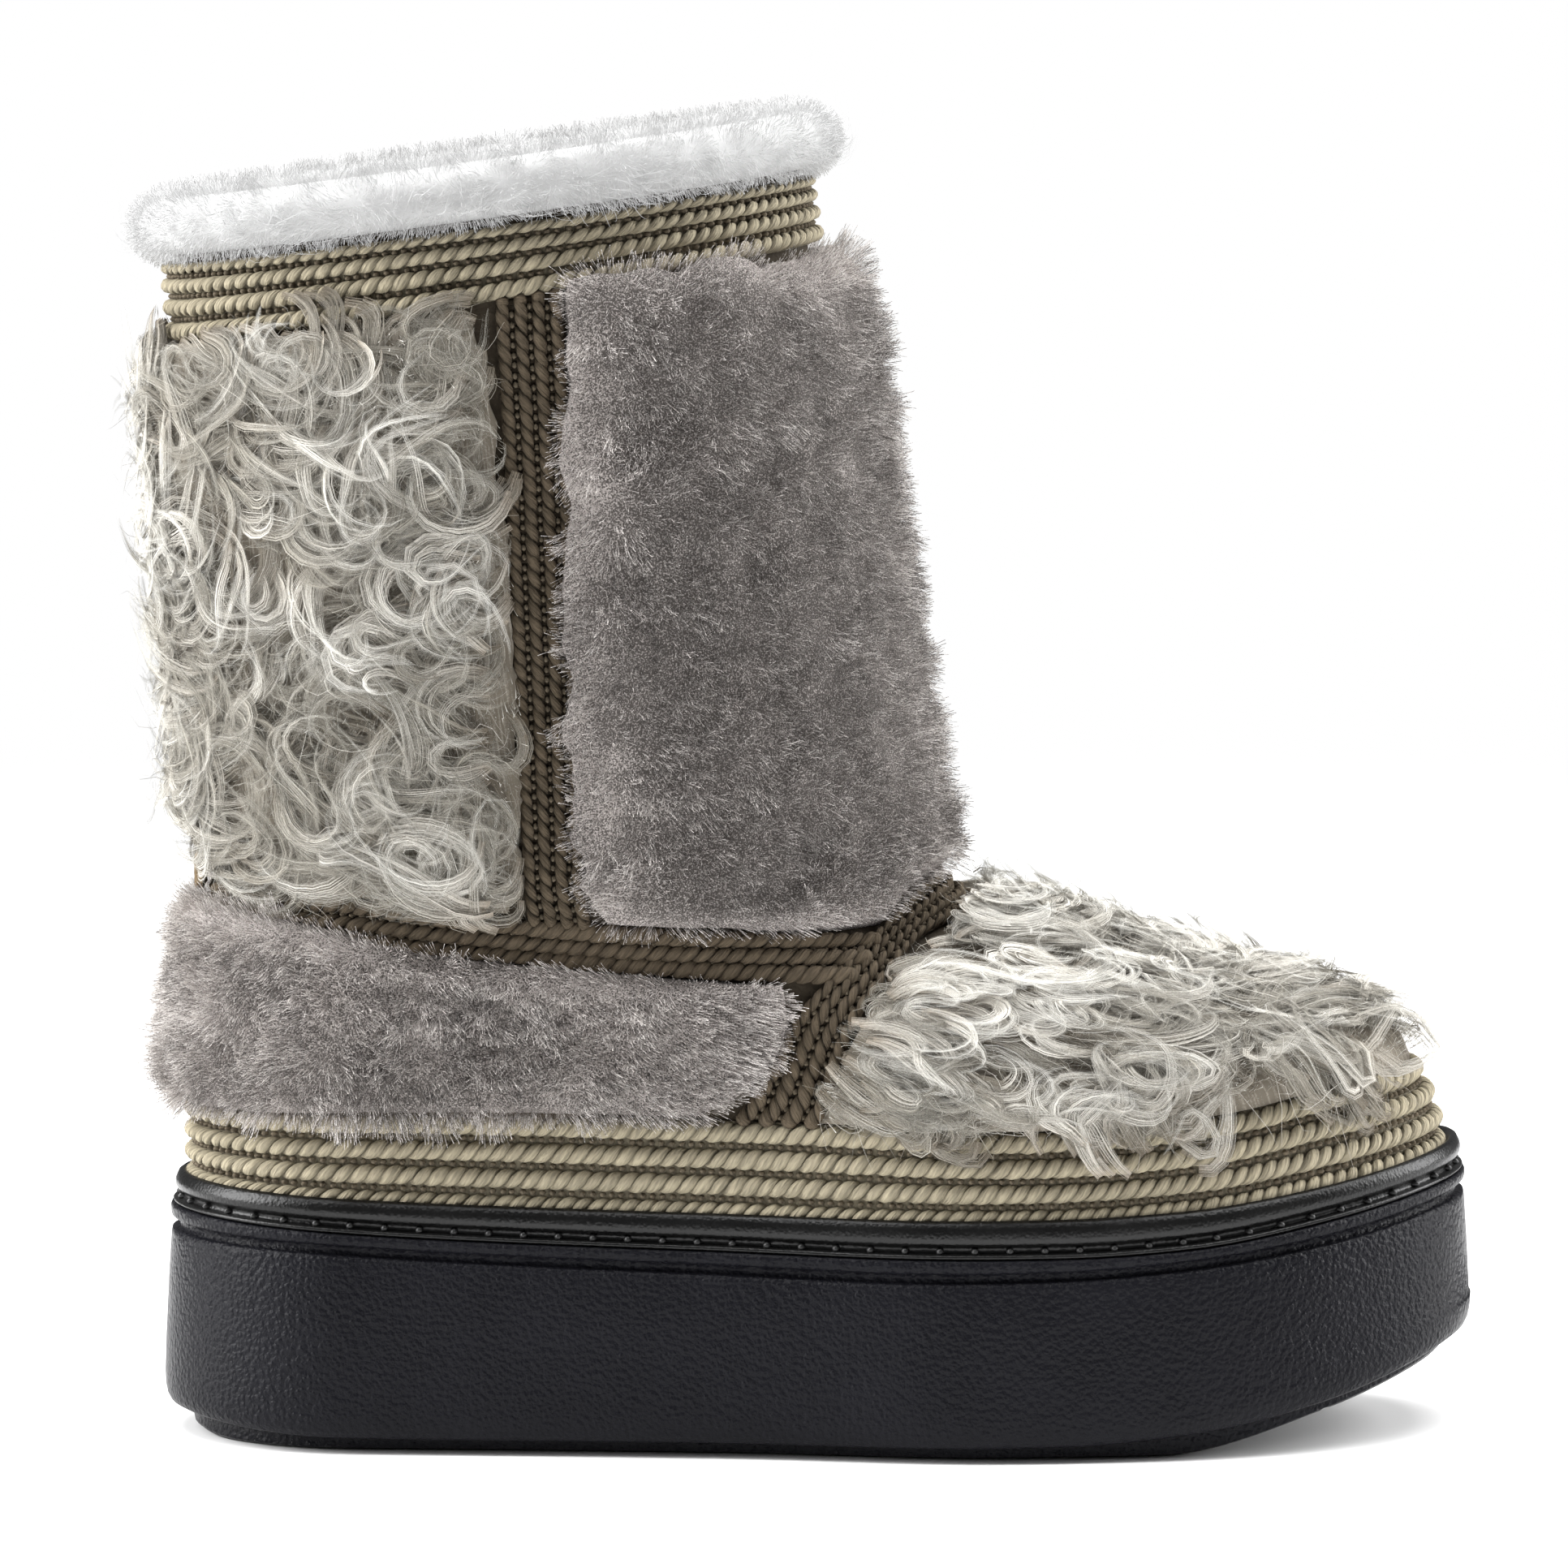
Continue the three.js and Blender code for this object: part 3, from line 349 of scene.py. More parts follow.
CURL_MARGIN = 0.004  # turn that the back curls keep from the side strips
VAMP_MARGIN = 0.002
BACK_FOOT = 8.7  # level where the back panel's edges start
LOCK_CARDS = 4  # cards of hair in a lock
LOCK_CARD = (1.8, 3.9)  # least and greatest width of a card
LOCK_LIFT = (-3.0, 1.8)  # how far locks lie below or above the pile's height
LOCK_LEAST = 4.8  # least height of a lock over the upper
LOCK_LENGTH = (0.6, 1.2)  # least and greatest length against the panel's
LOCK_WIDTH = (1.6, 3.4)
LOCK_SWAY = 0.5
LOCK_WAYS = (1.0, 30.0, 2)  # patches of locks that curl the same way
LOCK_DRIFTS = (0.2, 26.0, 3)  # patches of paler locks
# Tone of locks: darker by so much for each millimetre that a lock lies lower, a painted shade; the share
# across where the painted light of the upper edge starts; and each lock's own spread.
LOCK_TONE = {"lift": 0.24, "painted_light_start": 0.4, "single": 0.1}
LOCK_STRAY = {"foot": 0.3, "top": 0.25, "side": 0.015}  # how far locks keep from a panel's edges or pass them
LOCK_INSET = 0.002
NOTCH_ROOM = 1.3
LOCK_ARCH = (0.1, 0.62, 0.8)  # start and length of a lock's arch in half waves, and its power
LOCK_ROOT = 0.35  # height at the root, as a share of the height that the pile gives
LOCK_MIXED = 0.35  # how readily locks curl against their patch
# How the cards of one lock differ, and how loose hairs differ: as spreads, or as least and greatest
# shares.
CARD_SPREAD = {
    "offset": 0.5,
    "heading": 0.12,
    "bend": (0.8, 1.2),
    "sway": 0.1,
    "length": (0.7, 1.1),
    "slip": 2.0,
    "rise": 0.5,
    "tone": 0.12,
    "twist": 0.4,
}
LOOSE_SPREAD = {"bend": 2.0, "sway": 0.6, "length": (0.4, 1.0), "slip": 4.0, "tone": 0.3, "twist": 0.6}
CARD_ARCH = 1.8  # how far a lock's middle cards lie above its outer ones
LEAST_TURN = 60.0  # least length that is taken for a turn and for a level, where the upper closes in
LEAST_LEVEL = 4.0
LOOSE_HAIR = 0.11  # width
FRIZZ = {"each": 4, "length": 0.6, "lift": (-2.0, 2.4)}  # loose hairs within the locks
STRAYS = {"each": 1, "length": 0.8, "lift": (1.0, 4.5)}  # loose hairs that stand out of them
CUFF_HAIR = 0.11
HAIR_TAPER = ((0, 0.3, 1), (0.7, 1, 0.35))  # shares of a hair's length, and its width there
HAIR_PATTERN = (5.0, 20.0)  # a hair's own pattern: distance from the next one's, and length from root to tip
FIBRE_LINES = {"fur": 300.0, "webbing": 400.0, "cuff": (400.0, 200.0)}  # fineness of fibres on closed skins

# Cards of hair: hairs and streaks across and along a millimetre, how they thin out to the tip and the
# sides, and the noise values where a card is bare and full.
CARD = {
    "fine": (6.5, 0.05, 0.0),
    "broad": (3.2, 0.07, 0.0),
    "tip": 0.24,
    "side": 0.14,
    "bare": 0.26,
    "full": 0.4,
}

# Yarn: how fibre lines stretch along a ply, stains to a metre, and the angles over which a ply's face is
# darkened toward the crease, a painted shade.
FIBRE = {"stretch": (0.3, 1.3, 9.0), "stains": 90.0, "crease_shade": (0.75, 1.45)}
# Rope colours against the set one: tones of plies, of fibre lines and of the painted shade in the creases,
# and the shares that the lines and the painted crease shade take.
ROPE_SHADES = {
    "tone": (0.8, 1.1),
    "lines": (0.45, 1.2),
    "crease_shade": 0.16,
    "line_share": 0.6,
    "crease_shade_share": 0.5,
}
ROPE_LINES = (0.36, 0.64)  # noise values between which a fibre line goes from dark to pale
SKIN_WEAR = (0.7, 1.4)  # a skin's darkest and palest patches against its colour
SKIN_PATCHES = 55.0  # to a metre
# Fur materials: colours at root and tip, strength of streaks and flecks, the darkest tone against the
# palest, and the strength of a painted glow in the hair's own colour that lifts its shade.
CURLY_LOOK = {
    "root": "curly_root",
    "tip": "curly_tip",
    "streaks": 1.4,
    "fleck": 0.6,
    # The darkest tone is warmer than the palest, to paint the warm shade deep among the curls.
    "dark": (0.36, 0.345, 0.315),
    "painted_glow": 0.07,
}
FUR_LOOKS = {
    "Short fur": {
        "root": "short_root",
        "tip": "short_tip",
        "streaks": 0.4,
        "fleck": 3.0,
        "dark": (0.2, 0.196, 0.192),
        "painted_glow": 0.0,
    },
    "Curly wool": CURLY_LOOK,
    "Curly locks": CURLY_LOOK,
    "Cuff fur": {
        "root": "white_root",
        "tip": "white_tip",
        "streaks": 0.3,
        "fleck": 0.4,
        "dark": (0.78, 0.78, 0.78),
        "painted_glow": 0.2,
    },
}
# Embossed skins: colour, cells to a metre, strength and depth of the relief, least and greatest
# roughness, shine.
SKIN_LOOKS = {
    "Rubber": ("rubber", 900.0, (1.0, 0.34), (0.24, 0.42), 0.09),
    "Leather": ("leather", 1500.0, (0.4, 0.2), (0.2, 0.4), 0.3),
    "Backing": ("backing", 1100.0, (0.6, 0.3), (0.7, 0.95), 0.2),
}
ROPE_LOOKS = {"Open rope": "rope", "Sunk rope": "rope_shade", "Rope stitch": "rope_stitch"}

LINING_DEPTH = 3.2
LINING_LEVELS = (0.6, 16.6)
FOOTBED = {"level": 0.1, "inset": 0.9, "rise": 6.6}
PLATE_ROWS = (  # inset and height of the plate's section, and 1 where it is bare metal
    (0.0, 0.0, 1.0),
    (0.0, 1.3, 1.0),
    (0.35, 1.75, 1.0),
    (0.9, 1.8, 1.0),
    (1.15, 1.45, 0.0),
    (3.6, 1.4, 0.0),
)
PLATE_CORNER = (1.6, 0.2)  # radius of its corners, and the least that the section leaves of it
PLATE_POINTS = 64

# Places and sizes on the stage are in metres. The floor's half size and the lens are in millimetres.
CAMERA = {
    "place": (-0.00747, -1.85, 0.325),
    "pitch": math.radians(90 - 5.78),
    "lens": 200.5,
    "sensor": 36.0,
    "far": 200.0,
}
# Studio lights: where each stands, what it aims at, its size and its power.
LIGHTS = {
    "left_softbox": ((-1.7, -0.2, 0.9), (0.0, 0.0, 0.12), (1.2, 1.6), 76.0),
    "right_softbox": ((1.7, 0.25, 0.9), (0.0, 0.0, 0.12), (1.0, 1.6), 54.0),
    "top_softbox": ((0.0, -0.1, 2.0), (0.0, 0.0, 0.1), (2.4, 1.6), 88.0),
}
SKY = {"lighting": 0.17, "seen": 1.0}  # strength of the studio's white walls as light and as backdrop
FLOOR_FADE = (0.6, 1.5)  # distances over which the floor melts into the backdrop
FLOOR_HALF = 2600.0


def paint(red, green, blue):
    """A colour picked on screen, as the linear values that a shader takes."""
    shares = np.array((red, green, blue)) / 255
    linear = np.where(shares <= 0.04045, shares / 12.92, ((shares + 0.055) / 1.055) ** 2.4)
    return (*(float(value) for value in linear), 1.0)


def size_setting(name, millimetres, description):
    """A length that a user may change."""
    return bpy.props.FloatProperty(
        name=name,
        description=description,
        default=millimetres * MM,
        min=0.0,
        unit="LENGTH",
        precision=4,
    )


def colour_setting(name, colour, description):
    """A colour that a user may change."""
    return bpy.props.FloatVectorProperty(
        name=name,
        description=description,
        default=paint(*colour),
        size=4,
        min=0.0,
        max=1.0,
        subtype="COLOR",
    )


class BootSizes(bpy.types.PropertyGroup):
    """Sizes of the boot's trims."""

    pile_length: size_setting("Pile", 4.8, "Free length of the hairs of the short fur panels")
    curl_length: size_setting("Curls", 34.0, "Length of the strands of the curly fur panels")
    cuff_length: size_setting("Cuff hair", 10.0, "Free length of the hairs of the cuff")
    ply_spacing: size_setting("Rope ply", 3.3, "Distance between two plies along a rope")
    bead_spacing: size_setting("Rope stitch", 2.1, "Distance between two stitches between the ropes")
    stitch_spacing: size_setting(
        "Rand stitch", 7.3, "Distance between two stitches in the channel of the rand"
    )


class BootColours(bpy.types.PropertyGroup):
    """Colours of the boot's materials."""

    rubber: colour_setting("Rubber", (18, 18, 22), "Platform and tread")
    leather: colour_setting("Leather", (9, 9, 9), "Rand")
    backing: colour_setting("Backing", (62, 55, 45), "Upper, seen between the ropes")
    thread: colour_setting("Thread", (14, 14, 14), "Stitches of the rand")
    rope: colour_setting("Rope", (160, 151, 129), "Twisted ropes")
    # A darker copy of the rope colour for the ropes sunk between the fur panels: painted shade.
    rope_shade: colour_setting("Sunk rope", (92, 81, 66), "Ropes between the fur panels")
    rope_stitch: colour_setting("Rope stitch", (112, 102, 86), "Stitches between the ropes")
    short_root: colour_setting("Short fur, root", (120, 109, 105), "Short fur near the skin")
    short_tip: colour_setting("Short fur, tip", (228, 223, 219), "Short fur at its tips")
    curly_root: colour_setting("Curly fur, root", (136, 120, 99), "Curly fur near the skin")
    curly_tip: colour_setting("Curly fur, tip", (226, 225, 219), "Curly fur at its tips")
    white_root: colour_setting("Cuff, root", (180, 180, 180), "Cuff hair near the skin")
    white_tip: colour_setting("Cuff, tip", (188, 188, 188), "Cuff hair at its tips")
    lining: colour_setting("Lining", (206, 200, 190), "Fleece inside the boot")
    plate: colour_setting("Plate", (38, 34, 30), "Face of the back plate")
    plate_edge: colour_setting("Plate edge", (112, 96, 74), "Edge of the back plate")
    floor: colour_setting("Floor", (240, 240, 240), "Studio floor")


class Curve:
    """A smooth line through a table's points that doesn't overshoot them."""

    def __init__(self, places, values):
        self.places = np.array(places, float)
        self.values = np.array(values, float)
        steps = np.diff(self.places)
        rises = np.diff(self.values) / steps
        self.slopes = np.concatenate([rises[:1], self.inner_slopes(steps, rises), rises[-1:]])

    @staticmethod
    def inner_slopes(steps, rises):
        first = 2 * steps[1:] + steps[:-1]
        second = steps[1:] + 2 * steps[:-1]
        same_way = rises[:-1] * rises[1:] > 0
        before = np.where(same_way, rises[:-1], 1.0)
        after = np.where(same_way, rises[1:], 1.0)
        return np.where(same_way, (first + second) / (first / before + second / after), 0.0)

    def __call__(self, place):
        place = np.clip(place, self.places[0], self.places[-1])
        i = np.clip(np.searchsorted(self.places, place, side="right") - 1, 0, len(self.places) - 2)
        step = self.places[i + 1] - self.places[i]
        t = (place - self.places[i]) / step
        start = self.values[i] * (1 + 2 * t) + self.slopes[i] * step * t
        end = self.values[i + 1] * (3 - 2 * t) - self.slopes[i + 1] * step * (1 - t)
        return start * (1 - t) ** 2 + end * t**2


def table_curves(table, key):
    """Every column of a table as a smooth line over the key column."""
    return {name: Curve(table[key], values) for name, values in table.items() if name != key}


outline = table_curves(OUTLINE, "at")
side = table_curves(SIDE, "at")
band_top = Curve(BAND_TOP["at"], BAND_TOP["z"])
ground = Curve(GROUND["at"], GROUND["z"])
levels = table_curves(LEVELS, "level")
instep = table_curves(INSTEP, "along")
ankle = table_curves(ANKLE, "turn")
front_edge = Curve(FRONT_EDGE["turn"], FRONT_EDGE["level"])
heel_edge = Curve(HEEL_EDGE["across"], HEEL_EDGE["turn"])
vamp_edge = Curve(VAMP_EDGE["across"], VAMP_EDGE["turn"])


def mix(start, end, share):
    return start + (end - start) * share


def smooth(share):
    share = np.clip(share, 0, 1)
    return share * share * (3 - 2 * share)


def unit(vectors):
    return vectors / np.maximum(np.linalg.norm(vectors, axis=-1, keepdims=True), 1e-9)


def turn_share(turn):
    return (1 - np.cos(2 * np.pi * turn)) / 2


def centre_line(at):
    return TOE_SWING * np.clip((at - SWING_START) / (SOLE_LENGTH - SWING_START), 0, 1) ** 2


def rounded_end(distance, cap, power):
    """Share of the full width at a distance from a rounded end."""
    return (1 - np.clip(1 - distance / cap, 0, 1) ** power) ** (1 / power)


def half_width(at, turn):
    return np.where(turn % 1.0 <= 0.5, outline["outer"](at), outline["inner"](at))


def to_side(at, width, turn):
    return centre_line(at) + np.where(turn % 1.0 <= 0.5, -width, width)


def sole_edge(turn):
    at = SOLE_LENGTH * turn_share(turn)
    ends = rounded_end(at, HEEL_CAP, 2) * rounded_end(SOLE_LENGTH - at, TOE_CAP, TOE_POWER)
    return np.stack([at - SOLE_LENGTH / 2, to_side(at, half_width(at, turn) * ends, turn)], -1)


def sole_point(turn, inset, start, rise):
    """A point on the sole's side, an inset inside its outline and a rise over one of its heights."""
    ahead = unit(sole_edge(turn + SLOPE_STEP) - sole_edge(turn - SLOPE_STEP))
    inward = np.stack([-ahead[..., 1], ahead[..., 0]], -1)
    flat = sole_edge(turn) + inward * inset
    height = side[start](flat[..., 0] + SOLE_LENGTH / 2) + rise
    return np.concatenate([flat, height[..., None]], -1)


def upper_point(level, turn):
    """The outside of the upper."""
    level, turn = np.broadcast_arrays(np.asarray(level, float), np.asarray(turn, float))
    share = turn_share(turn)
    back = levels["back"](level)
    front = levels["front"](level)
    at = mix(back, front, share)
    half = mix(half_width(at, turn) - SEAT_INSET, levels["half"](level), levels["shaft"](level))
    back_end = rounded_end(at - back, levels["back_cap"](level), 2)
    front_end = rounded_end(front - at, levels["front_cap"](level), levels["power"](level))
    width = half * back_end * front_end
    return np.stack([at - SOLE_LENGTH / 2, to_side(at, width, turn), level_height(level, at, share)], -1)


def level_height(level, at, share):
    low = mix(side["top"](at), band_top(at), level / BAND_LEVEL)
    chord = mix(band_top(levels["back"](level)), band_top(levels["front"](level)), share)
    straight = mix(levels["z_back"](level), levels["z_front"](level), share)
    return np.where(level <= BAND_LEVEL, low, straight + levels["sag"](level) * (band_top(at) - chord))


def upper_steps(level, turn):
    """How the upper's surface moves for each unit of turn and of level."""
    level = np.asarray(level, float)
    turn = np.asarray(turn, float)
    onward = upper_point(level, turn + SLOPE_STEP) - upper_point(level, turn - SLOPE_STEP)
    round_it = onward / (2 * SLOPE_STEP)
    above = np.minimum(level + SLOPE_STEP, TOP_LEVEL)
    below = np.maximum(level - SLOPE_STEP, 0)
    up = (upper_point(above, turn) - upper_point(below, turn)) / (above - below)[..., None]
    return round_it, up


def upper_normal(level, turn):
    return unit(np.cross(*upper_steps(level, turn)))


def off_upper(level, turn, out):
    return upper_point(level, turn) + upper_normal(level, turn) * np.asarray(out)[..., None]


def low_level(at, z):
    """The level line of the upper's lower part that passes a height above the sole."""
    return BAND_LEVEL * (z - side["top"](at)) / (band_top(at) - side["top"](at))


def waves(points, size, seed):
    """Smooth noise about 0, with patches of the given size."""
    rng = np.random.default_rng(seed)
    count = 14
    ways = unit(rng.normal(size=(count, 3))) * (2 * np.pi / size) * rng.uniform(0.5, 1.3, (count, 1))
    shifts = rng.uniform(0, 2 * np.pi, count)
    return np.cos(points @ ways.T + shifts).sum(-1) * math.sqrt(2 / count)


def patches(points, strength, size, seed, base=0):
    """Waves of a strength and a size, with a seed counted from a base."""
    return strength * waves(points, size, base + seed)


def distances(points):
    """How far along a line each of its points lies."""
    return np.concatenate([[0], np.cumsum(np.linalg.norm(np.diff(points, axis=0), axis=1))])


class Shape:
    """Points, triangles and values at the points, gathered before they become one mesh."""

    def __init__(self):
        self.points = []
        self.triangles = []
        self.values = {}
        self.count = 0

    def add(self, points, triangles, **values):
        flat = np.asarray(points, float).reshape(-1, 3)
        self.points.append(flat)
        self.triangles.append(np.asarray(triangles).reshape(-1, 3) + self.count)
        self.count += len(flat)
        for name, value in values.items():
            self.values.setdefault(name, []).append(np.asarray(value, float).reshape(len(flat), -1))

    def to_mesh(self, name):
        mesh = bpy.data.meshes.new(name)
        triangles = np.concatenate(self.triangles).astype(np.int32)
        mesh.vertices.add(self.count)
        mesh.vertices.foreach_set("co", (np.concatenate(self.points) * MM).ravel())
        mesh.loops.add(triangles.size)
        mesh.loops.foreach_set("vertex_index", triangles.ravel())
        mesh.polygons.add(len(triangles))
        mesh.polygons.foreach_set("loop_start", np.arange(0, triangles.size, 3, dtype=np.int32))
        mesh.polygons.foreach_set("use_smooth", np.ones(len(triangles), bool))
        for value_name, parts in self.values.items():
            store_values(mesh, value_name, np.concatenate(parts))
        mesh.update(calc_edges=True)
        mesh.validate()
        return mesh


def store_values(mesh, name, values):
    """Keeps a number or a vector for each point of a mesh, for its material to read."""
    kind, field = ("FLOAT", "value") if values.shape[1] == 1 else ("FLOAT_VECTOR", "vector")
    mesh.attributes.new(name, kind, "POINT").data.foreach_set(field, values.ravel())


def grid_triangles(rows, columns, wrap=False):
    """Triangles over a grid of points; wrap joins the last column to the first."""
    r, c = np.meshgrid(np.arange(rows - 1), np.arange(columns if wrap else columns - 1), indexing="ij")
    here = r * columns + c
    beside = r * columns + (c + 1) % columns
    first = np.stack([here, beside, beside + columns], -1)
    second = np.stack([here, beside + columns, here + columns], -1)
    return np.concatenate([first.reshape(-1, 3), second.reshape(-1, 3)])


def copied_triangles(triangles, copies, points_each):
    return (triangles[None] + (np.arange(copies) * points_each)[:, None, None]).reshape(-1, 3)


def add_piece(shape, name, material, nodes):
    """Puts a finished shape in the scene, on the boot's body and in place of its solids."""
    piece = bpy.data.objects.new(name, shape.to_mesh(name))
    bpy.context.scene.collection.objects.link(piece)
    piece.data.materials.append(material)
    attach(piece, BODY)
    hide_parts(*nodes)
    return piece


def length_of(setting):
    """A user's length in millimetres."""
    return getattr(bpy.context.scene.boot_sizes, setting) / MM


def colour_of(setting):
    return tuple(getattr(bpy.context.scene.boot_colours, setting))


def add_node(tree, kind, inputs=None, **settings):
    """A node with its settings, its plain input values and its links."""
    made = tree.nodes.new(kind)
    for name, value in settings.items():
        setattr(made, name, value)
    for socket, value in (inputs or {}).items():
        if isinstance(value, bpy.types.NodeSocket):
            tree.links.new(value, made.inputs[socket])
        else:
            made.inputs[socket].default_value = value
    return made


def math_node(tree, operation, first, second):
    return add_node(tree, "ShaderNodeMath", {0: first, 1: second}, operation=operation).outputs[0]


def blend_colours(tree, factor, first, second):
    """A colour between two, by a factor."""
    made = add_node(tree, "ShaderNodeMix", data_type="RGBA")
    numbers = [socket for socket in made.inputs if socket.type == "VALUE"]
    colours = [socket for socket in made.inputs if socket.type == "RGBA"]
    for socket, value in zip((numbers[0], *colours), (factor, first, second)):
        if isinstance(value, bpy.types.NodeSocket):
            tree.links.new(value, socket)
        else:
            socket.default_value = value
    return next(socket for socket in made.outputs if socket.type == "RGBA")


def read_values(tree, name, output):
    return add_node(tree, "ShaderNodeAttribute", attribute_name=name).outputs[output]


def noise_values(tree, vector, scale, detail):
    inputs = {"Vector": vector, "Scale": scale, "Detail": detail}
    return add_node(tree, "ShaderNodeTexNoise", inputs).outputs["Fac"]


def scaled_values(tree, vector, scale):
    return add_node(tree, "ShaderNodeMapping", {"Vector": vector, "Scale": scale}).outputs[0]


def between(tree, value, low, high):
    """0 where a value is at or under the low one, 1 where it is at or over the high one."""
    return add_node(tree, "ShaderNodeMapRange", {0: value, 1: low, 2: high}).outputs[0]


def object_place(tree):
    return add_node(tree, "ShaderNodeTexCoord").outputs["Object"]


def new_group(name, inputs, outputs):
    """An empty node group with named number inputs and outputs."""
    tree = bpy.data.node_groups.new(name, "ShaderNodeTree")
    for socket, value in inputs.items():
        tree.interface.new_socket(socket, in_out="INPUT", socket_type="NodeSocketFloat").default_value = value
    for socket in outputs:
        tree.interface.new_socket(socket, in_out="OUTPUT", socket_type="NodeSocketFloat")
    start = tree.nodes.new("NodeGroupInput")
    end = tree.nodes.new("NodeGroupOutput")
    return tree, start.outputs, end.inputs


def pebble_group():
    """Pebbled skin: raised cells of the given number per metre, and uneven patches over them."""
    tree, given, put = new_group("Pebble", {"Cells": 900.0, "Patches": 60.0}, ("Height", "Patch"))
    place = object_place(tree)
    cells = add_node(
        tree,
        "ShaderNodeTexVoronoi",
        {"Vector": place, "Scale": given["Cells"], "Smoothness": 0.6},
        feature="SMOOTH_F1",
    )
    fine = math_node(tree, "MULTIPLY", given["Cells"], 2.3)
    grit = noise_values(tree, place, fine, 2.0)
    patch = noise_values(tree, place, given["Patches"], 3.0)
    domes = math_node(tree, "SUBTRACT", 1.0, cells.outputs["Distance"])
    rough = math_node(tree, "MULTIPLY", grit, 0.6)
    tree.links.new(math_node(tree, "ADD", domes, rough), put["Height"])
    tree.links.new(patch, put["Patch"])
    return tree


def fibre_group():
    """Spun fibres: fine lines along each ply, a tone that differs by ply, and painted shade in the creases.
    """
    tree, given, put = new_group("Fibre", {"Fineness": 1.0}, ("Height", "Tone", "Crease shade"))
    yarn = read_values(tree, "yarn", "Vector")
    stretched = scaled_values(tree, yarn, FIBRE["stretch"])
    lines = noise_values(tree, stretched, given["Fineness"], 4.0)
    stains = noise_values(tree, object_place(tree), FIBRE["stains"], 3.0)
    parts = add_node(tree, "ShaderNodeSeparateXYZ", {0: yarn}).outputs
    # Painted shade: 1 where a ply's face turns into the crease between plies, 0 on its crown.
    edge = math_node(tree, "ABSOLUTE", parts[1], 0.0)
    crease_shade = between(tree, edge, *FIBRE["crease_shade"])
    stained = math_node(tree, "MULTIPLY", stains, 0.5)
    own_tone = math_node(tree, "MULTIPLY", parts[2], 0.5)
    tree.links.new(lines, put["Height"])
    tree.links.new(math_node(tree, "ADD", stained, own_tone), put["Tone"])
    tree.links.new(crease_shade, put["Crease shade"])
    return tree


def card_cover(tree, strand, tip, hairs):
    """Where a card has hairs: fewer toward its tip and its two sides."""
    parts = add_node(tree, "ShaderNodeSeparateXYZ", {0: strand}).outputs
    edge = math_node(tree, "ABSOLUTE", parts[2], 0.0)
    thin = math_node(tree, "MULTIPLY", math_node(tree, "MULTIPLY", tip, tip), CARD["tip"])
    limit = math_node(tree, "ADD", thin, math_node(tree, "MULTIPLY", edge, CARD["side"]))
    over = math_node(tree, "SUBTRACT", hairs, limit)
    return between(tree, over, CARD["bare"], CARD["full"])


def hair_group():
    """Fur: how far a point is from root to tip, its hair's tone, fine relief, and where a card has hairs."""
    inputs = {"Streaks": 0.5, "Specks": 3000.0, "Fleck": 0.0}
    tree, given, put = new_group("Hair", inputs, ("Tip", "Tone", "Height", "Cover"))
    strand = read_values(tree, "strand", "Vector")
    tip = read_values(tree, "tip", "Fac")
    specks = noise_values(tree, object_place(tree), given["Specks"], 0.0)
    speck = math_node(tree, "SUBTRACT", specks, 0.5)
    streaks = noise_values(tree, scaled_values(tree, strand, CARD["broad"]), 1.0, 0.0)
    swing = math_node(tree, "MULTIPLY", math_node(tree, "SUBTRACT", streaks, 0.5), given["Streaks"])
    hairs = noise_values(tree, scaled_values(tree, strand, CARD["fine"]), 1.0, 0.0)
    cover = card_cover(tree, strand, tip, hairs)
    tree.links.new(tip, put["Tip"])
    fleck = math_node(tree, "ADD", swing, math_node(tree, "MULTIPLY", speck, given["Fleck"]))
    tree.links.new(math_node(tree, "ADD", read_values(tree, "tone", "Fac"), fleck), put["Tone"])
    tree.links.new(hairs, put["Height"])
    tree.links.new(cover, put["Cover"])
    return tree


def shared_group(name, build):
    """A node group that is built once and used by each material that needs it."""
    return bpy.data.node_groups.get(name) or build()


def use_group(tree, name, build, **inputs):
    made = tree.nodes.new("ShaderNodeGroup")
    made.node_tree = shared_group(name, build)
    for socket, value in inputs.items():
        made.inputs[socket].default_value = value
    return made.outputs


def new_material(name, **settings):
    """A material with one Principled shader whose plain values are given by socket name."""
    material = bpy.data.materials.new(name)
    material.use_nodes = True
    shader = material.node_tree.nodes["Principled BSDF"]
    for socket, value in settings.items():
        shader.inputs[socket.replace("_", " ")].default_value = value
    return material, material.node_tree, shader.inputs


def add_bump(tree, sockets, height, strength, depth):
    """Relief of a depth in millimetres."""
    bump = add_node(tree, "ShaderNodeBump", {"Height": height, "Strength": strength, "Distance": depth * MM})
    tree.links.new(bump.outputs["Normal"], sockets["Normal"])


def shades(tree, factor, colour, limits):
    """A colour made darker and lighter, by a factor between the two."""
    return blend_colours(tree, factor, *(lighter(colour, limit) for limit in limits))


def wear_in_patches(tree, sockets, patch, colour, limits):
    tree.links.new(shades(tree, patch, colour, limits), sockets["Base Color"])


def vary_gloss(tree, sockets, patch, limits):
    rough = add_node(tree, "ShaderNodeMapRange", {0: patch, 3: limits[0], 4: limits[1]})
    tree.links.new(rough.outputs[0], sockets["Roughness"])


def lighter(colour, factor):
    return (*(min(1.0, value * factor) for value in colour[:3]), 1.0)


def tinted(colour, factors):
    return (*(value * factor for value, factor in zip(colour, factors)), 1.0)


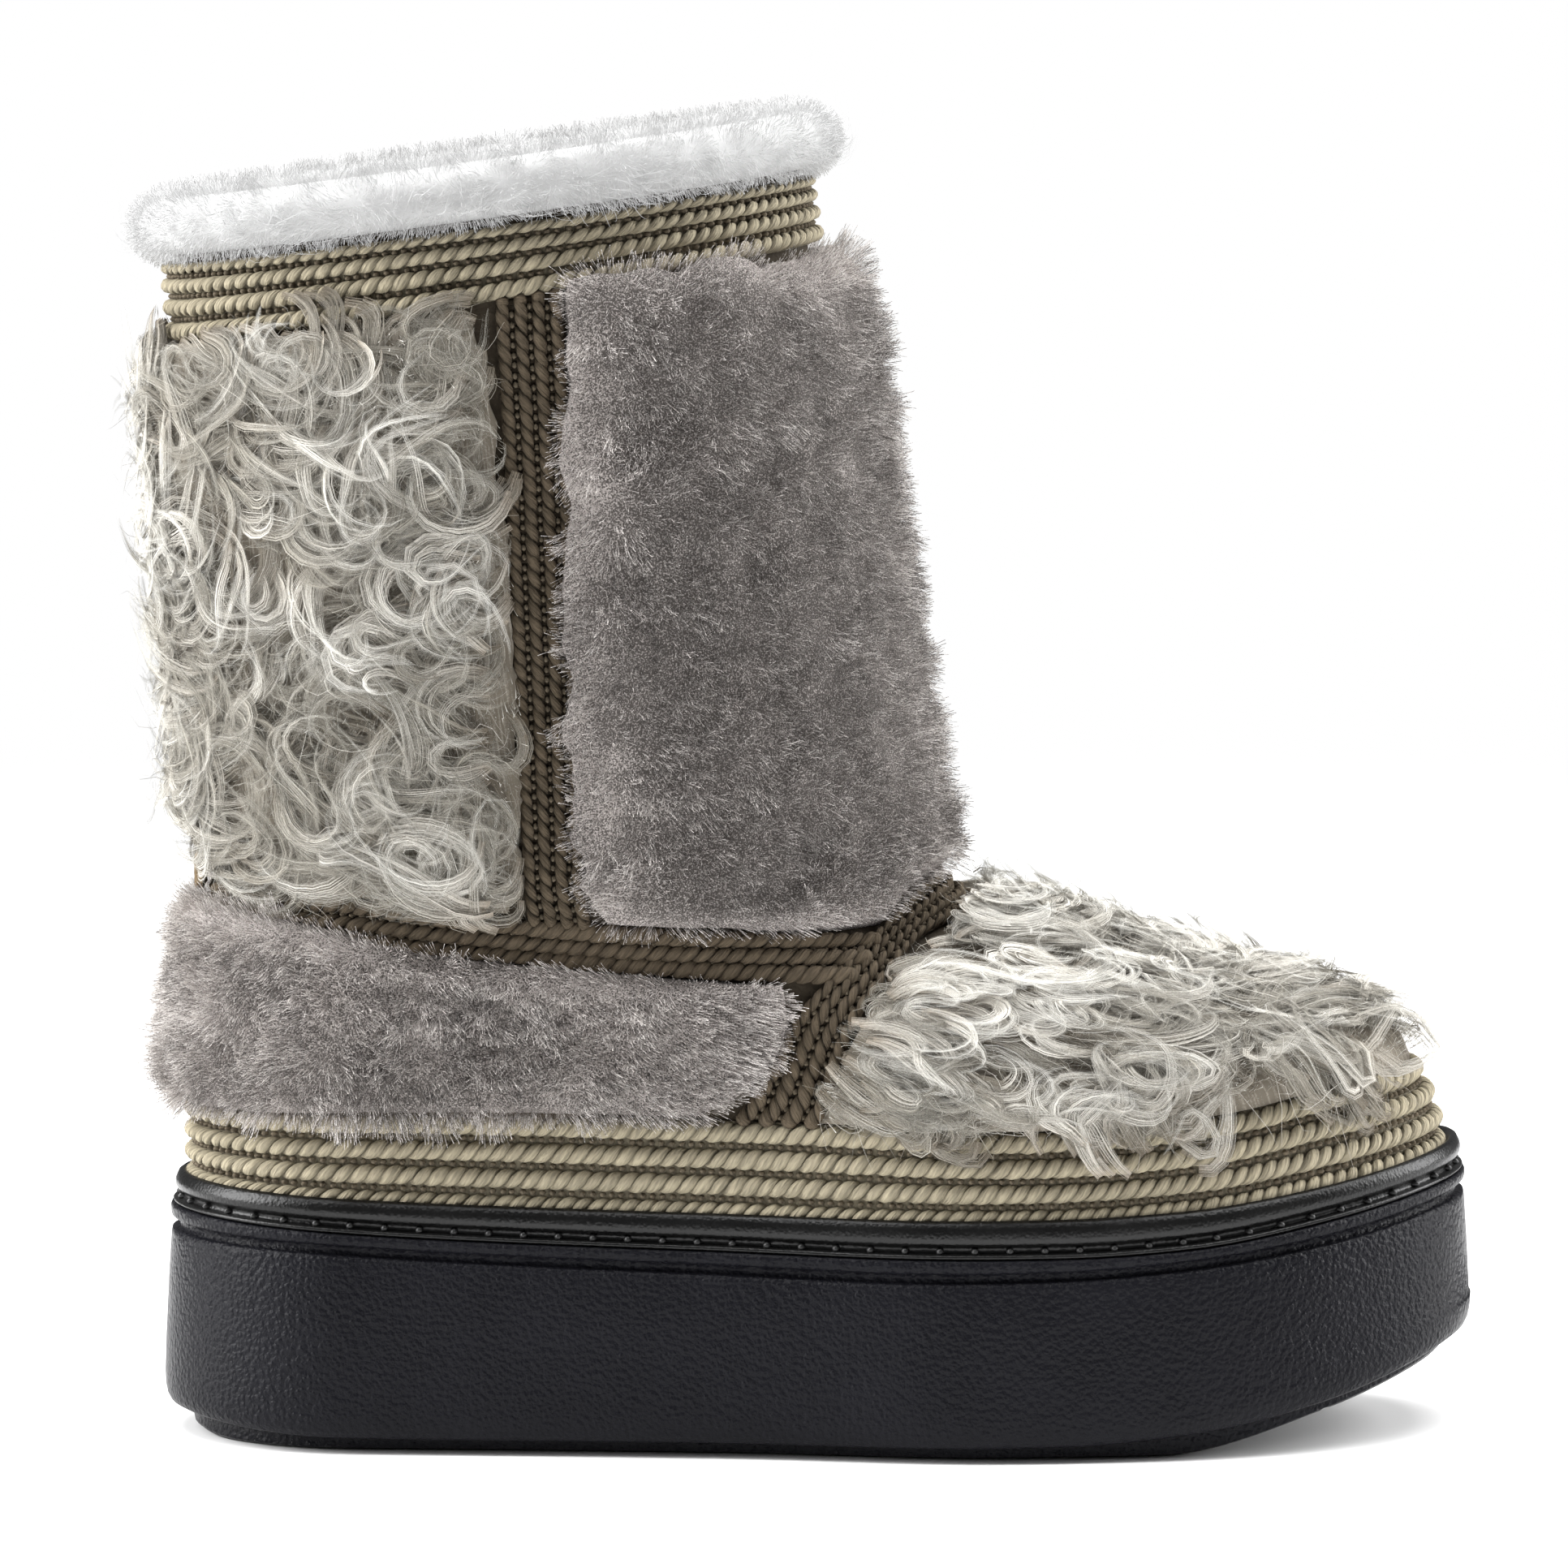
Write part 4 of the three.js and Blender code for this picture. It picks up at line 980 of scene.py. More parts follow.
def skin_material(name):
    """Embossed skin: a colour that wears in patches, raised cells and an uneven gloss."""
    colour, cells, relief, rough, shine = SKIN_LOOKS[name]
    material, tree, sockets = new_material(name, Specular_IOR_Level=shine)
    pebble = use_group(tree, "Pebble", pebble_group, Cells=cells, Patches=SKIN_PATCHES)
    wear_in_patches(tree, sockets, pebble["Patch"], colour_of(colour), SKIN_WEAR)
    vary_gloss(tree, sockets, pebble["Patch"], rough)
    add_bump(tree, sockets, pebble["Height"], *relief)
    return material


def thread_material(name):
    material, tree, sockets = new_material(name, Roughness=0.4)
    fibre = use_group(tree, "Fibre", fibre_group, Fineness=3.0)
    wear_in_patches(tree, sockets, fibre["Tone"], colour_of("thread"), (0.7, 1.6))
    add_bump(tree, sockets, fibre["Height"], 0.5, 0.1)
    return material


def rope_material(name):
    material, tree, sockets = new_material(name, Roughness=0.85, Specular_IOR_Level=0.25)
    fibre = use_group(tree, "Fibre", fibre_group, Fineness=1.6)
    colour = colour_of(ROPE_LOOKS[name])
    tone = shades(tree, fibre["Tone"], colour, ROPE_SHADES["tone"])
    lines = shades(tree, between(tree, fibre["Height"], *ROPE_LINES), colour, ROPE_SHADES["lines"])
    yarn = blend_colours(tree, ROPE_SHADES["line_share"], tone, lines)
    # Painted shade: the plies darken toward a dark copy of the rope colour where they turn into the creases.
    dark = math_node(tree, "MULTIPLY", fibre["Crease shade"], ROPE_SHADES["crease_shade_share"])
    crease_shaded = blend_colours(tree, dark, yarn, lighter(colour, ROPE_SHADES["crease_shade"]))
    tree.links.new(crease_shaded, sockets["Base Color"])
    add_bump(tree, sockets, fibre["Height"], 1.0, 0.8)
    return material


def fur_material(name):
    """Hair that pales from root to tip and from its darkest to its palest tone."""
    look = FUR_LOOKS[name]
    root, tip = colour_of(look["root"]), colour_of(look["tip"])
    material, tree, sockets = new_material(
        name, Roughness=0.8, Specular_IOR_Level=0.15, Emission_Strength=look["painted_glow"]
    )
    hair = use_group(tree, "Hair", hair_group, Streaks=look["streaks"], Fleck=look["fleck"])
    pale = blend_colours(tree, hair["Tip"], root, tip)
    deep = blend_colours(tree, hair["Tip"], tinted(root, look["dark"]), tinted(tip, look["dark"]))
    colour = blend_colours(tree, hair["Tone"], deep, pale)
    tree.links.new(colour, sockets["Base Color"])
    # The hair glows in its own colour, a painted glow that lifts its shade.
    tree.links.new(colour, sockets["Emission Color"])
    return material


def lock_material(name):
    """Fur on cards, open between the hairs."""
    material = fur_material(name)
    tree = material.node_tree
    sockets = tree.nodes["Principled BSDF"].inputs
    hair = next(node for node in tree.nodes if node.type == "GROUP").outputs
    tree.links.new(hair["Cover"], sockets["Alpha"])
    add_bump(tree, sockets, hair["Height"], 0.6, 0.4)
    return material


def fleece_material(name):
    material, tree, sockets = new_material(name, Roughness=0.95, Specular_IOR_Level=0.15)
    pebble = use_group(tree, "Pebble", pebble_group, Cells=420.0, Patches=90.0)
    wear_in_patches(tree, sockets, pebble["Patch"], colour_of("lining"), (0.7, 1.15))
    add_bump(tree, sockets, pebble["Height"], 0.9, 1.2)
    return material


def plate_material(name):
    """Dark enamel on the face, bare metal on the edge."""
    material, tree, sockets = new_material(name, Metallic=0.9)
    pebble = use_group(tree, "Pebble", pebble_group, Cells=2200.0, Patches=300.0)
    face = shades(tree, pebble["Patch"], colour_of("plate"), SKIN_WEAR)
    edge = read_values(tree, "tip", "Fac")
    tree.links.new(blend_colours(tree, edge, face, colour_of("plate_edge")), sockets["Base Color"])
    vary_gloss(tree, sockets, pebble["Patch"], (0.22, 0.4))
    add_bump(tree, sockets, pebble["Height"], 0.15, 0.05)
    return material


def shared_material(name, build):
    """A material that is made once, by the first piece that needs it."""
    return bpy.data.materials.get(name) or build(name)


def turns_round(count):
    return (np.arange(count) + 0.5) / count


def sole_rows(rows, turns):
    return np.stack([sole_point(turns, *row) for row in rows])


def tread_height(x, y):
    """Height of the tread's underside: ground line, slanted grooves and the raised waist."""
    at = x + SOLE_LENGTH / 2
    height = ground(at)
    room = np.minimum(outline["outer"](at), outline["inner"](at)) - TREAD_LAND
    inside = smooth((room - np.abs(y - centre_line(at))) / TREAD_SOFT)
    soft = LUG_GROOVE["soft"]
    for groove in LUG_GROOVES:
        reach = np.abs(at - groove + LUG_GROOVE["slant"] * (y - centre_line(at)))
        cut = smooth(((LUG_GROOVE["width"] + soft) / 2 - reach) / soft)
        height = height + LUG_GROOVE["depth"] * cut * inside
    start, end, rise = WAIST
    raised = smooth((at - start) / TREAD_SOFT) * smooth((end - at) / TREAD_SOFT)
    return height + rise * raised * inside


def add_tread(shape):
    """Tread pad: a wall round it, and an underside cut by lug grooves."""
    share = np.linspace(0, 1, 200)
    share = mix(share, turn_share(share / 2), 0.4)
    turn = np.arccos(1 - 2 * share) / (2 * np.pi)
    outer = sole_point(turn, TREAD_INSET, "bottom", 0.0)
    inner = sole_point(1 - turn, TREAD_INSET, "bottom", 0.0)
    across = np.linspace(0, 1, 26)[:, None, None]
    under = mix(outer, inner, across)
    rim = np.minimum(across, 1 - across)[..., 0] * np.linalg.norm(outer - inner, axis=-1)
    height, width = TREAD_RIM
    under[..., 2] = tread_height(under[..., 0], under[..., 1]) + height * (1 - smooth(rim / width))
    shape.add(under, grid_triangles(len(across), len(share)))
    for edge, wall in ((under[0], outer), (under[-1], inner)):
        shape.add(np.stack([edge, wall + (0, 0, TREAD_LAP)]), grid_triangles(2, len(share)))


def build_sole():
    shape = Shape()
    rows = sole_rows(SOLE_ROWS, turns_round(ROUND))
    shape.add(rows, grid_triangles(*rows.shape[:2], wrap=True))
    add_tread(shape)
    add_piece(shape, "sole", shared_material("Rubber", skin_material), ["outsole"])


def even_turns(line, spacing):
    """Turns whose points lie evenly spaced along a closed line."""
    dense = np.linspace(0, 1, 2000)
    run = distances(line(dense))
    count = int(round(run[-1] / spacing))
    return np.interp(np.arange(count) * run[-1] / count, run, dense)


def stitch_line(turn):
    return sole_point(turn, *STITCH_ROW)


def add_stitches(shape, spacing):
    """Short stitches in the channel, each diving into its hole at both ends."""
    turns = even_turns(stitch_line, spacing)
    middle = stitch_line(turns)
    ahead = unit(stitch_line(turns + SLOPE_STEP) - stitch_line(turns - SLOPE_STEP))
    out = unit(np.cross(ahead, (0.0, 0.0, 1.0)))
    up = np.cross(out, ahead)
    run = np.linspace(-1, 1, 7)
    angles = np.linspace(0, 2 * np.pi, 6, endpoint=False)
    reach = STITCH["reach"] * spacing
    dive = run**4 * STITCH["dive"]
    core = middle[:, None] + ahead[:, None] * (run * reach)[:, None] - out[:, None] * dive[:, None]
    thick = STITCH["half_thick"] * np.sqrt(1.02 - run**2)
    ring = out[:, None, None] * np.cos(angles)[:, None] + up[:, None, None] * np.sin(angles)[:, None]
    points = core[:, :, None] + ring * thick[:, None, None]
    each = grid_triangles(len(run), len(angles), wrap=True)
    yarn = np.zeros((*points.shape[:3], 3))
    yarn[..., 0] = run[:, None] * reach
    yarn[..., 1] = angles
    yarn[..., 2] = np.linspace(0, 1, len(turns))[:, None, None]
    shape.add(points, copied_triangles(each, len(turns), len(run) * len(angles)), yarn=yarn)


def build_rand():
    shape = Shape()
    rows = sole_rows(RAND_ROWS, turns_round(ROUND))
    shape.add(rows, grid_triangles(*rows.shape[:2], wrap=True))
    add_piece(shape, "rand_leather", shared_material("Leather", skin_material), ["rand"])
    threads = Shape()
    add_stitches(threads, length_of("stitch_spacing"))
    add_piece(threads, "rand_stitches", shared_material("Thread", thread_material), [])


def lower_band_place(along, across):
    turn = along
    at = upper_point(1.0, turn)[..., 0] + SOLE_LENGTH / 2
    foot = low_level(at, side["rand"](at) - BAND_FOOT)
    return mix(foot, BAND_LEVEL, across), turn


def collar_band_place(along, across):
    return mix(COLLAR_LEVEL, CUFF_LEVEL, across) + 0 * along, along + 0 * across


def ankle_band_place(along, across):
    turn = mix(-1, 1, along) * mix(*ANKLE_END, across)
    near = np.abs(turn)
    return mix(ankle["bottom"](near), ankle["top"](near), across), turn


def instep_place(along, across):
    half = 1 - np.abs(2 * along - 1)
    turn = mix(instep["back_turn"](half), instep["front_turn"](half), across)
    level = mix(instep["back_level"](half), instep["front_level"](half), across)
    return level, np.where(along < 0.5, turn, 1 - turn)


def outer_strip_place(along, across):
    turn = mix(mix(*STRIP_FOOT, across), mix(*STRIP_TOP, across), along)
    return mix(ankle["top"](turn), COLLAR_LEVEL, along), turn


def inner_strip_place(along, across):
    level, turn = outer_strip_place(along, across)
    return level, 1 - turn


class RopeLine:
    """The middle line of one rope on the upper, by distance along it."""

    def __init__(self, place, across, half_share):
        along = np.linspace(0, 1, 700)
        level, turn = place(along, np.full_like(along, across))
        self.points = upper_point(level, turn)
        self.out = upper_normal(level, turn)
        upper_edge = upper_point(*place(along, np.full_like(along, across + half_share)))
        lower_edge = upper_point(*place(along, np.full_like(along, across - half_share)))
        self.half = np.linalg.norm(upper_edge - lower_edge, axis=-1) / 2
        self.ahead = unit(np.gradient(self.points, axis=0))
        self.run = distances(self.points)
        self.length = self.run[-1]

    def at(self, distance):
        """Point, outward way, sideways way and half width at distances along the line."""
        point = self.sample(self.points, distance)
        out = unit(self.sample(self.out, distance))
        ahead = unit(self.sample(self.ahead, distance))
        return point, out, unit(np.cross(out, ahead)), np.interp(distance, self.run, self.half)

    def sample(self, rows, distance):
        return np.stack([np.interp(distance, self.run, rows[:, axis]) for axis in range(3)], -1)


def add_rope(shape, line, spacing, seed):
    """One twisted rope: each ply is a bean-shaped length of yarn laid round the rope's middle."""
    rng = np.random.default_rng(seed)
    count = int(line.length / spacing) + 3
    starts = (np.arange(count) - 1) * spacing + rng.normal(0, PLY_SHIFT, count)
    sweep = np.linspace(-PLY_SWEEP, PLY_SWEEP, 7)
    distance = starts[:, None] + sweep * PLY_REACH
    point, out, sideways, half = line.at(np.clip(distance, 0, line.length))
    wide = (half * ROPE_FILL)[..., None]
    cos, sin = np.cos(sweep)[:, None], np.sin(sweep)[:, None]
    rise, aside = PLY_CORE
    core = point + out * (ROPE_RISE + rise * ROPE_HEIGHT * cos) + sideways * (aside * wide * sin)
    radial = unit(out * cos * ROPE_HEIGHT + sideways * sin * wide)
    beside = unit(np.cross(unit(np.gradient(core, axis=1)), radial))
    full = (0.8 + 0.2 * np.cos(sweep)) * rng.uniform(*PLY_UNEVEN, (count, 1))
    thick = (PLY_THICK * wide[..., 0] * full)[..., None, None]
    close = spacing / np.sqrt(1 + (2 * PLY_REACH / wide) ** 2)
    broad = (PLY_BROAD * close[..., 0] * full)[..., None, None]
    angles = np.linspace(-PLY_FACE, PLY_FACE, 6)
    ring = (
        radial[:, :, None] * np.cos(angles)[:, None] * thick
        + beside[:, :, None] * np.sin(angles)[:, None] * broad
    )
    points = core[:, :, None] + ring
    yarn = np.zeros(points.shape)
    yarn[..., 0] = distance[..., None]
    yarn[..., 1] = angles
    yarn[..., 2] = rng.random((count, 1, 1))
    each = grid_triangles(len(sweep), len(angles))
    shape.add(points, copied_triangles(each, count, len(sweep) * len(angles)), yarn=yarn)


def add_rope_bed(shape, place):
    """The webbing that the ropes are sewn on, seen deep between them."""
    along, across = np.meshgrid(np.linspace(0, 1, 160), np.linspace(0.02, 0.98, 5), indexing="ij")
    points = off_upper(*place(along, across), ROPE_BED)
    # The yarn's second value runs up to hundreds along the trim, far past the crease angles, and its third is
    # 0: the sheet takes the painted crease shade in full and the darkest ply tone.
    yarn = np.stack([points[..., 2], along * FIBRE_LINES["webbing"], 0 * along], -1)
    shape.add(points, grid_triangles(*along.shape), yarn=yarn)


def add_beads(shape, line, spacing, seed):
    """The small raised stitches that sit in the valley between two ropes."""
    rng = np.random.default_rng(seed)
    count = int(line.length / spacing)
    distance = (np.arange(count) + 0.5) * spacing + rng.normal(0, BEAD_SHIFT, count)
    point, out, sideways, _ = line.at(distance)
    ahead = np.cross(sideways, out)
    angles = np.linspace(0, 2 * np.pi, 6, endpoint=False)
    half_along, half_across = BEAD_HALF
    along = ahead[:, None] * np.cos(angles)[:, None] * half_along
    across = sideways[:, None] * np.sin(angles)[:, None] * half_across
    layers = [point[:, None] + (along + across) * spread + out[:, None] * rise for spread, rise in BEAD_RINGS]
    points = np.stack(layers, 1)
    yarn = np.zeros(points.shape)
    yarn[..., 0] = distance[:, None, None] + angles
    yarn[..., 2] = rng.random((count, 1, 1))
    each = grid_triangles(len(BEAD_RINGS), len(angles), wrap=True)
    shape.add(points, copied_triangles(each, count, len(BEAD_RINGS) * len(angles)), yarn=yarn)


# Each rope trim: its place on the upper, how many ropes, its solid.
ROPE_TRIMS = {
    "lower_band": (lower_band_place, 4, "lower_rope_band"),
    "collar_band": (collar_band_place, 4, "collar_rope_band"),
    "ankle_band": (ankle_band_place, 3, "ankle_rope_band"),
    "instep_strip": (instep_place, 4, "instep_rope_strip"),
    "side_strip_outer": (outer_strip_place, 4, "side_rope_strip_outer"),
    "side_strip_inner": (inner_strip_place, 4, "side_rope_strip_inner"),
}


def build_rope_trim(name, place, ropes, node, seed):
    ropes_shape = Shape()
    beads = Shape()
    add_rope_bed(ropes_shape, place)
    half_share = 0.5 / ropes
    for i in range(ropes):
        line = RopeLine(place, (i + 0.5) / ropes, half_share)
        add_rope(ropes_shape, line, length_of("ply_spacing"), seed + i)
    for i in range(1, ropes):
        line = RopeLine(place, i / ropes, half_share)
        add_beads(beads, line, length_of("bead_spacing"), seed + 50 + i)
    # Ropes sunk between the fur take the darker copy of the rope colour: painted shade.
    rope = shared_material("Open rope" if name in OPEN_BANDS else "Sunk rope", rope_material)
    stitch = shared_material("Rope stitch", rope_material)
    add_piece(ropes_shape, name + "_ropes", rope, [node])
    add_piece(beads, name + "_stitches", stitch, [])


def ripple(share, size):
    """The slight waves of a cut fur edge."""
    waved = sum(strength * np.sin(number * share + shift) for strength, number, shift in RIPPLES)
    return size * waved / sum(strength for strength, _, _ in RIPPLES)


def round_corners(along, across):
    """Moves places on a panel so that its four corners come out rounded."""
    u, v = 2 * along - 1, 2 * across - 1
    round_u = u * np.sqrt(1 - CORNER_ROUND * v * v)
    round_v = v * np.sqrt(1 - CORNER_ROUND * u * u)
    return (round_u + 1) / 2, (round_v + 1) / 2


def notch_rise(fur, turn):
    """How far a curly panel's locks keep up at the back plate, or reach down at the toe."""
    middle, half, rise = fur["notch"]
    return rise * smooth(1.4 - np.abs(turn - middle) / half)


def back_fur_place(along, across):
    along, across = round_corners(along, across)
    edge = mix(STRIP_FOOT[0], STRIP_TOP[0], across)
    reach, wave = BACK_REACH
    turn = mix(-edge, edge, along) * (reach + ripple(across, wave))
    foot = ankle["top"](np.abs(turn)) + notch_rise(BACK_FUR, turn)
    return mix(foot, COLLAR_LEVEL, across), turn


def front_fur_place(along, across):
    along, across = round_corners(along, across)
    wave = FRONT_RIPPLE
    edge = mix(STRIP_FOOT[1], STRIP_TOP[1], across) - FRONT_REACH["side"] + ripple(across, wave["side"])
    turn = mix(edge, 1 - edge, along)
    near = np.minimum(turn, 1 - turn)
    start, width = FRONT_TURN
    reach = mix(FRONT_REACH["top"], FRONT_REACH["front"], smooth((near - start) / width))
    foot = front_edge(near) + ripple(along, wave["foot"])
    top = COLLAR_LEVEL + reach + ripple(along, wave["top"])
    return mix(foot, top, across), turn


def heel_fur_place(along, across):
    along, across = round_corners(along, across)
    turn = mix(-1, 1, along) * heel_edge(across)
    top = ankle["bottom"](np.abs(turn))
    lift = np.linalg.norm(upper_steps(top, turn)[1], axis=-1)
    lap, reach = HEEL_LAP
    top = top + lap / lift * smooth(1.4 - np.abs(turn) / reach)
    return mix(BAND_LEVEL, top, across), turn


def vamp_fur_place(along, across):
    edge = vamp_edge(across)
    return mix(BAND_LEVEL, VAMP_TOP, across), mix(edge, 1 - edge, along)


def edge_share(fur, along, across):
    """0 at the edge of a panel, 1 where its pile has its full depth."""
    return np.minimum(np.minimum(along, 1 - along), np.minimum(across, 1 - across)) / fur["roll"]


def fur_depth(fur, along, across):
    full = fur["depth"] * (1 - fur["taper"] * across)
    return mix(fur["edge"], full, np.sqrt(smooth(edge_share(fur, along, across))))


def spread_even(place, count, rng):
    """Random places on a panel, evenly over its area."""
    across_count, along_count = 40, 70
    along, across = np.meshgrid(
        np.linspace(0, 1, along_count + 1), np.linspace(0, 1, across_count + 1), indexing="ij"
    )
    points = upper_point(*place(along, across))
    first = points[1:, :-1] - points[:-1, :-1]
    second = points[:-1, 1:] - points[:-1, :-1]
    areas = np.linalg.norm(np.cross(first, second), axis=-1).ravel()
    cells = rng.choice(areas.size, count, p=areas / areas.sum())
    row, column = np.divmod(cells, across_count)
    return (row + rng.random(count)) / along_count, (column + rng.random(count)) / across_count


def painted_end_sheen(fur, along):
    """Painted sheen: how much paler a panel is along its middle, at the boot's back or front."""
    return fur["ends"] * np.exp(-(((along - 0.5) / END_WIDTH) ** 2))


def pile_tone(fur, skin, along, across):
    """How pale the pile is: painted sheen toward its edges and the boot's back or front, and uneven in
    drifts.
    """
    # Painted sheen: paler toward the panel's edges, in uneven patches.
    edge = 1 - smooth(fur["rim"] * edge_share(fur, along, across) + patches(skin, *EDGE_SHEEN_WAVES))
    return fur["tone"] + fur["edge_sheen"] * edge + painted_end_sheen(fur, along) + patches(skin, *TONE_WAVES)


def add_undercoat(shape, place, fur, pile):
    """The dense wool under the hairs, closed down to the upper at its edges."""
    rows = np.concatenate([[0.0], np.linspace(0.0, 1, 60), [1.0]])
    columns = np.concatenate([[0.0], np.linspace(0.0, 1, 46), [1.0]])
    along, across = np.meshgrid(rows, columns, indexing="ij")
    level, turn = place(along, across)
    skin = upper_point(level, turn)
    depth = fur_depth(fur, along, across) * pile["undercoat"] * (1 + patches(skin, *UNDERCOAT_WAVES))
    for hem in (depth[0], depth[-1], depth[:, 0], depth[:, -1]):
        hem[:] = UNDERCOAT_HEM
    strand = np.stack([turn * FIBRE_LINES["fur"], skin[..., 2] * pile["fibres"], 0 * turn], -1)
    # The undercoat takes part of the pile's tone, and the ground, below 0, darkens it: painted shade deep
    # under the hairs.
    tone = np.clip(UNDERCOAT_TONE * pile_tone(fur, skin, along, across) + fur["ground"], 0, 1)
    triangles = grid_triangles(len(rows), len(columns))
    tip = np.full(tone.shape, UNDERCOAT_TIP)
    shape.add(off_upper(level, turn, depth), triangles, tip=tip, tone=tone, strand=strand)


def add_hairs(shape, paths, sideways, width, tip, tone):
    """Flat hairs, or cards of hair, that taper to a point. Paths holds their points from root to tip."""
    hairs, steps = paths.shape[:2]
    taper = np.interp(np.linspace(0, 1, steps)[:-1], *HAIR_TAPER)[:, None]
    half = sideways[:, :-1] * (taper * width[:, None, None] / 2)
    points = np.concatenate([paths[:, :-1] + half, paths[:, :-1] - half, paths[:, -1:]], 1)
    right = steps - 1
    quads = [((i, right + i, right + i + 1), (i, right + i + 1, i + 1)) for i in range(steps - 2)]
    last = (right - 1, 2 * right - 1, 2 * right)
    each = np.array([triangle for quad in quads for triangle in quad] + [last])
    tips = np.concatenate([tip[:, :-1], tip[:, :-1], tip[:, -1:]], 1)
    tones = np.repeat(tone[:, None], points.shape[1], 1)
    strand = np.zeros(points.shape)
    strand[..., 2] = np.concatenate([np.ones(steps - 1), -np.ones(steps - 1), np.zeros(1)])
    gap, length = HAIR_PATTERN
    strand[..., 0] = gap * np.arange(hairs)[:, None] + strand[..., 2] * (width[:, None] / 2)
    strand[..., 1] = length * tips
    triangles = copied_triangles(each, hairs, points.shape[1])
    shape.add(points, triangles, tip=tips, tone=tones, strand=strand)


def across_ways(paths, facing, rng, spread):
    """Sideways directions that lay each hair's flat face toward a way, with some twist."""
    ahead = unit(np.gradient(paths, axis=1))
    level = unit(np.cross(ahead, facing))
    other = np.cross(ahead, level)
    twist = rng.normal(0, spread, (len(paths), 1, 1))
    return level * np.cos(twist) + other * np.sin(twist)


def add_pile(shape, root, tip_point, width, tone, rng):
    """Short straight hairs, each one triangle that widens from its root to its cut tip."""
    count = len(root)
    aside = unit(np.cross(tip_point - root, rng.normal(size=(count, 3)))) * (width / 2)
    points = np.stack([tip_point + aside, tip_point - aside, root], 1)
    tip = np.broadcast_to(np.array((1.0, 1.0, 0.0)), (count, 3))
    strand = np.zeros(points.shape)
    strand[..., 0] = np.arange(count)[:, None]
    triangles = np.arange(3 * count).reshape(-1, 3)
    shape.add(points, triangles, tip=tip, tone=np.repeat(tone[:, None], 3, 1), strand=strand)


def tuft_lean(foot, count, seed, rng):
    """How far hairs lean one way: together in tufts, and each by itself."""
    together = sum(patches(foot, *wave, base=seed) for wave in TUFT_LEANS)
    return together + rng.normal(0, HAIR_LEAN, count)


def edge_splay(fur, along, across, round_it, up):
    """Lean of the hairs at a panel's edge, out over what borders it."""
    ends = smooth(1 - (1 - along) / fur["roll"]) - smooth(1 - along / fur["roll"])
    sides = smooth(1 - (1 - across) / fur["roll"]) - smooth(1 - across / fur["roll"])
    return fur["splay"] * (round_it * ends[:, None] + up * sides[:, None])


def short_hairs(shape, place, fur, count, length, pile, seed):
    """Dense short pile: fine hairs that stand out and lean a little in tufts."""
    rng = np.random.default_rng(seed)
    along, across = spread_even(place, count, rng)
    level, turn = place(along, across)
    foot = upper_point(level, turn)
    round_it, up = (unit(step) for step in upper_steps(level, turn))
    out = unit(np.cross(round_it, up))
    lean = [tuft_lean(foot, count, seed + k, rng) for k in (1, 2)]
    tone = pile_tone(fur, foot, along, across) + patches(foot, *TUFT_TONE, base=seed)
    splay = edge_splay(fur, along, across, round_it, up)
    way = unit(out + round_it * lean[0][:, None] + up * (lean[1] - HAIR_DROOP)[:, None] + splay)
    root = foot + out * (pile["root"] * fur_depth(fur, along, across))[:, None]
    long = length * rng.uniform(*HAIR_LENGTH, count) * (1 + patches(foot, *TUFT_LENGTH, base=seed))
    tone = np.clip(tone + rng.normal(0, HAIR_TONE, count), 0, 1)
    add_pile(shape, root, root + way * long[:, None], pile["width"], tone, rng)


def build_short_fur(name, place, fur, node):
    shape = Shape()
    add_undercoat(shape, place, fur, SHORT_PILE)
    short_hairs(shape, place, fur, fur["hairs"], length_of("pile_length"), SHORT_PILE, fur["seed"])
    add_piece(shape, name, shared_material("Short fur", fur_material), [node])


def back_fur_edges(level):
    """Turns of the back panel's two upright edges at a level."""
    share = np.clip((level - BACK_FOOT) / (COLLAR_LEVEL - BACK_FOOT), 0, 1)
    edge = mix(STRIP_FOOT[0], STRIP_TOP[0], share) - CURL_MARGIN
    return -edge, edge


def vamp_fur_edges(level):
    edge = vamp_edge((level - BAND_LEVEL) / (VAMP_TOP - BAND_LEVEL)) + VAMP_MARGIN
    return edge, 1 - edge


def move_inside(values, low, high):
    """Moves each row of values as a whole, so that it keeps between two limits."""
    over = np.maximum(values - high, 0).max(1, keepdims=True)
    under = np.maximum(low - values, 0).max(1, keepdims=True)
    return values - over + under


def lock_profile(shares):
    """Width of a lock from root to tip."""
    return (0.3 + 0.9 * np.sin(np.pi * shares**0.8)) * (1 - shares**2.6) + 0.1


def flat_curls(heading, bend, sway, length, offset, slip, steps):
    """Curls laid flat: where each strand runs, sideways and up, from its root to its tip."""
    shares = np.linspace(0, 1, steps)
    angle = heading[:, None] + bend[:, None] * shares**1.15 + sway[:, None] * np.sin(2 * np.pi * shares)
    step = (length / (steps - 1))[:, None]
    run_x = np.cumsum(np.cos(angle), 1) * step
    run_y = np.cumsum(np.sin(angle), 1) * step
    close = offset[:, None] * lock_profile(shares)
    x = run_x - np.sin(angle) * close + (np.cos(heading) * slip - run_x[:, steps // 2])[:, None]
    y = run_y + np.cos(angle) * close + (np.sin(heading) * slip - run_y[:, steps // 2])[:, None]
    return x, y


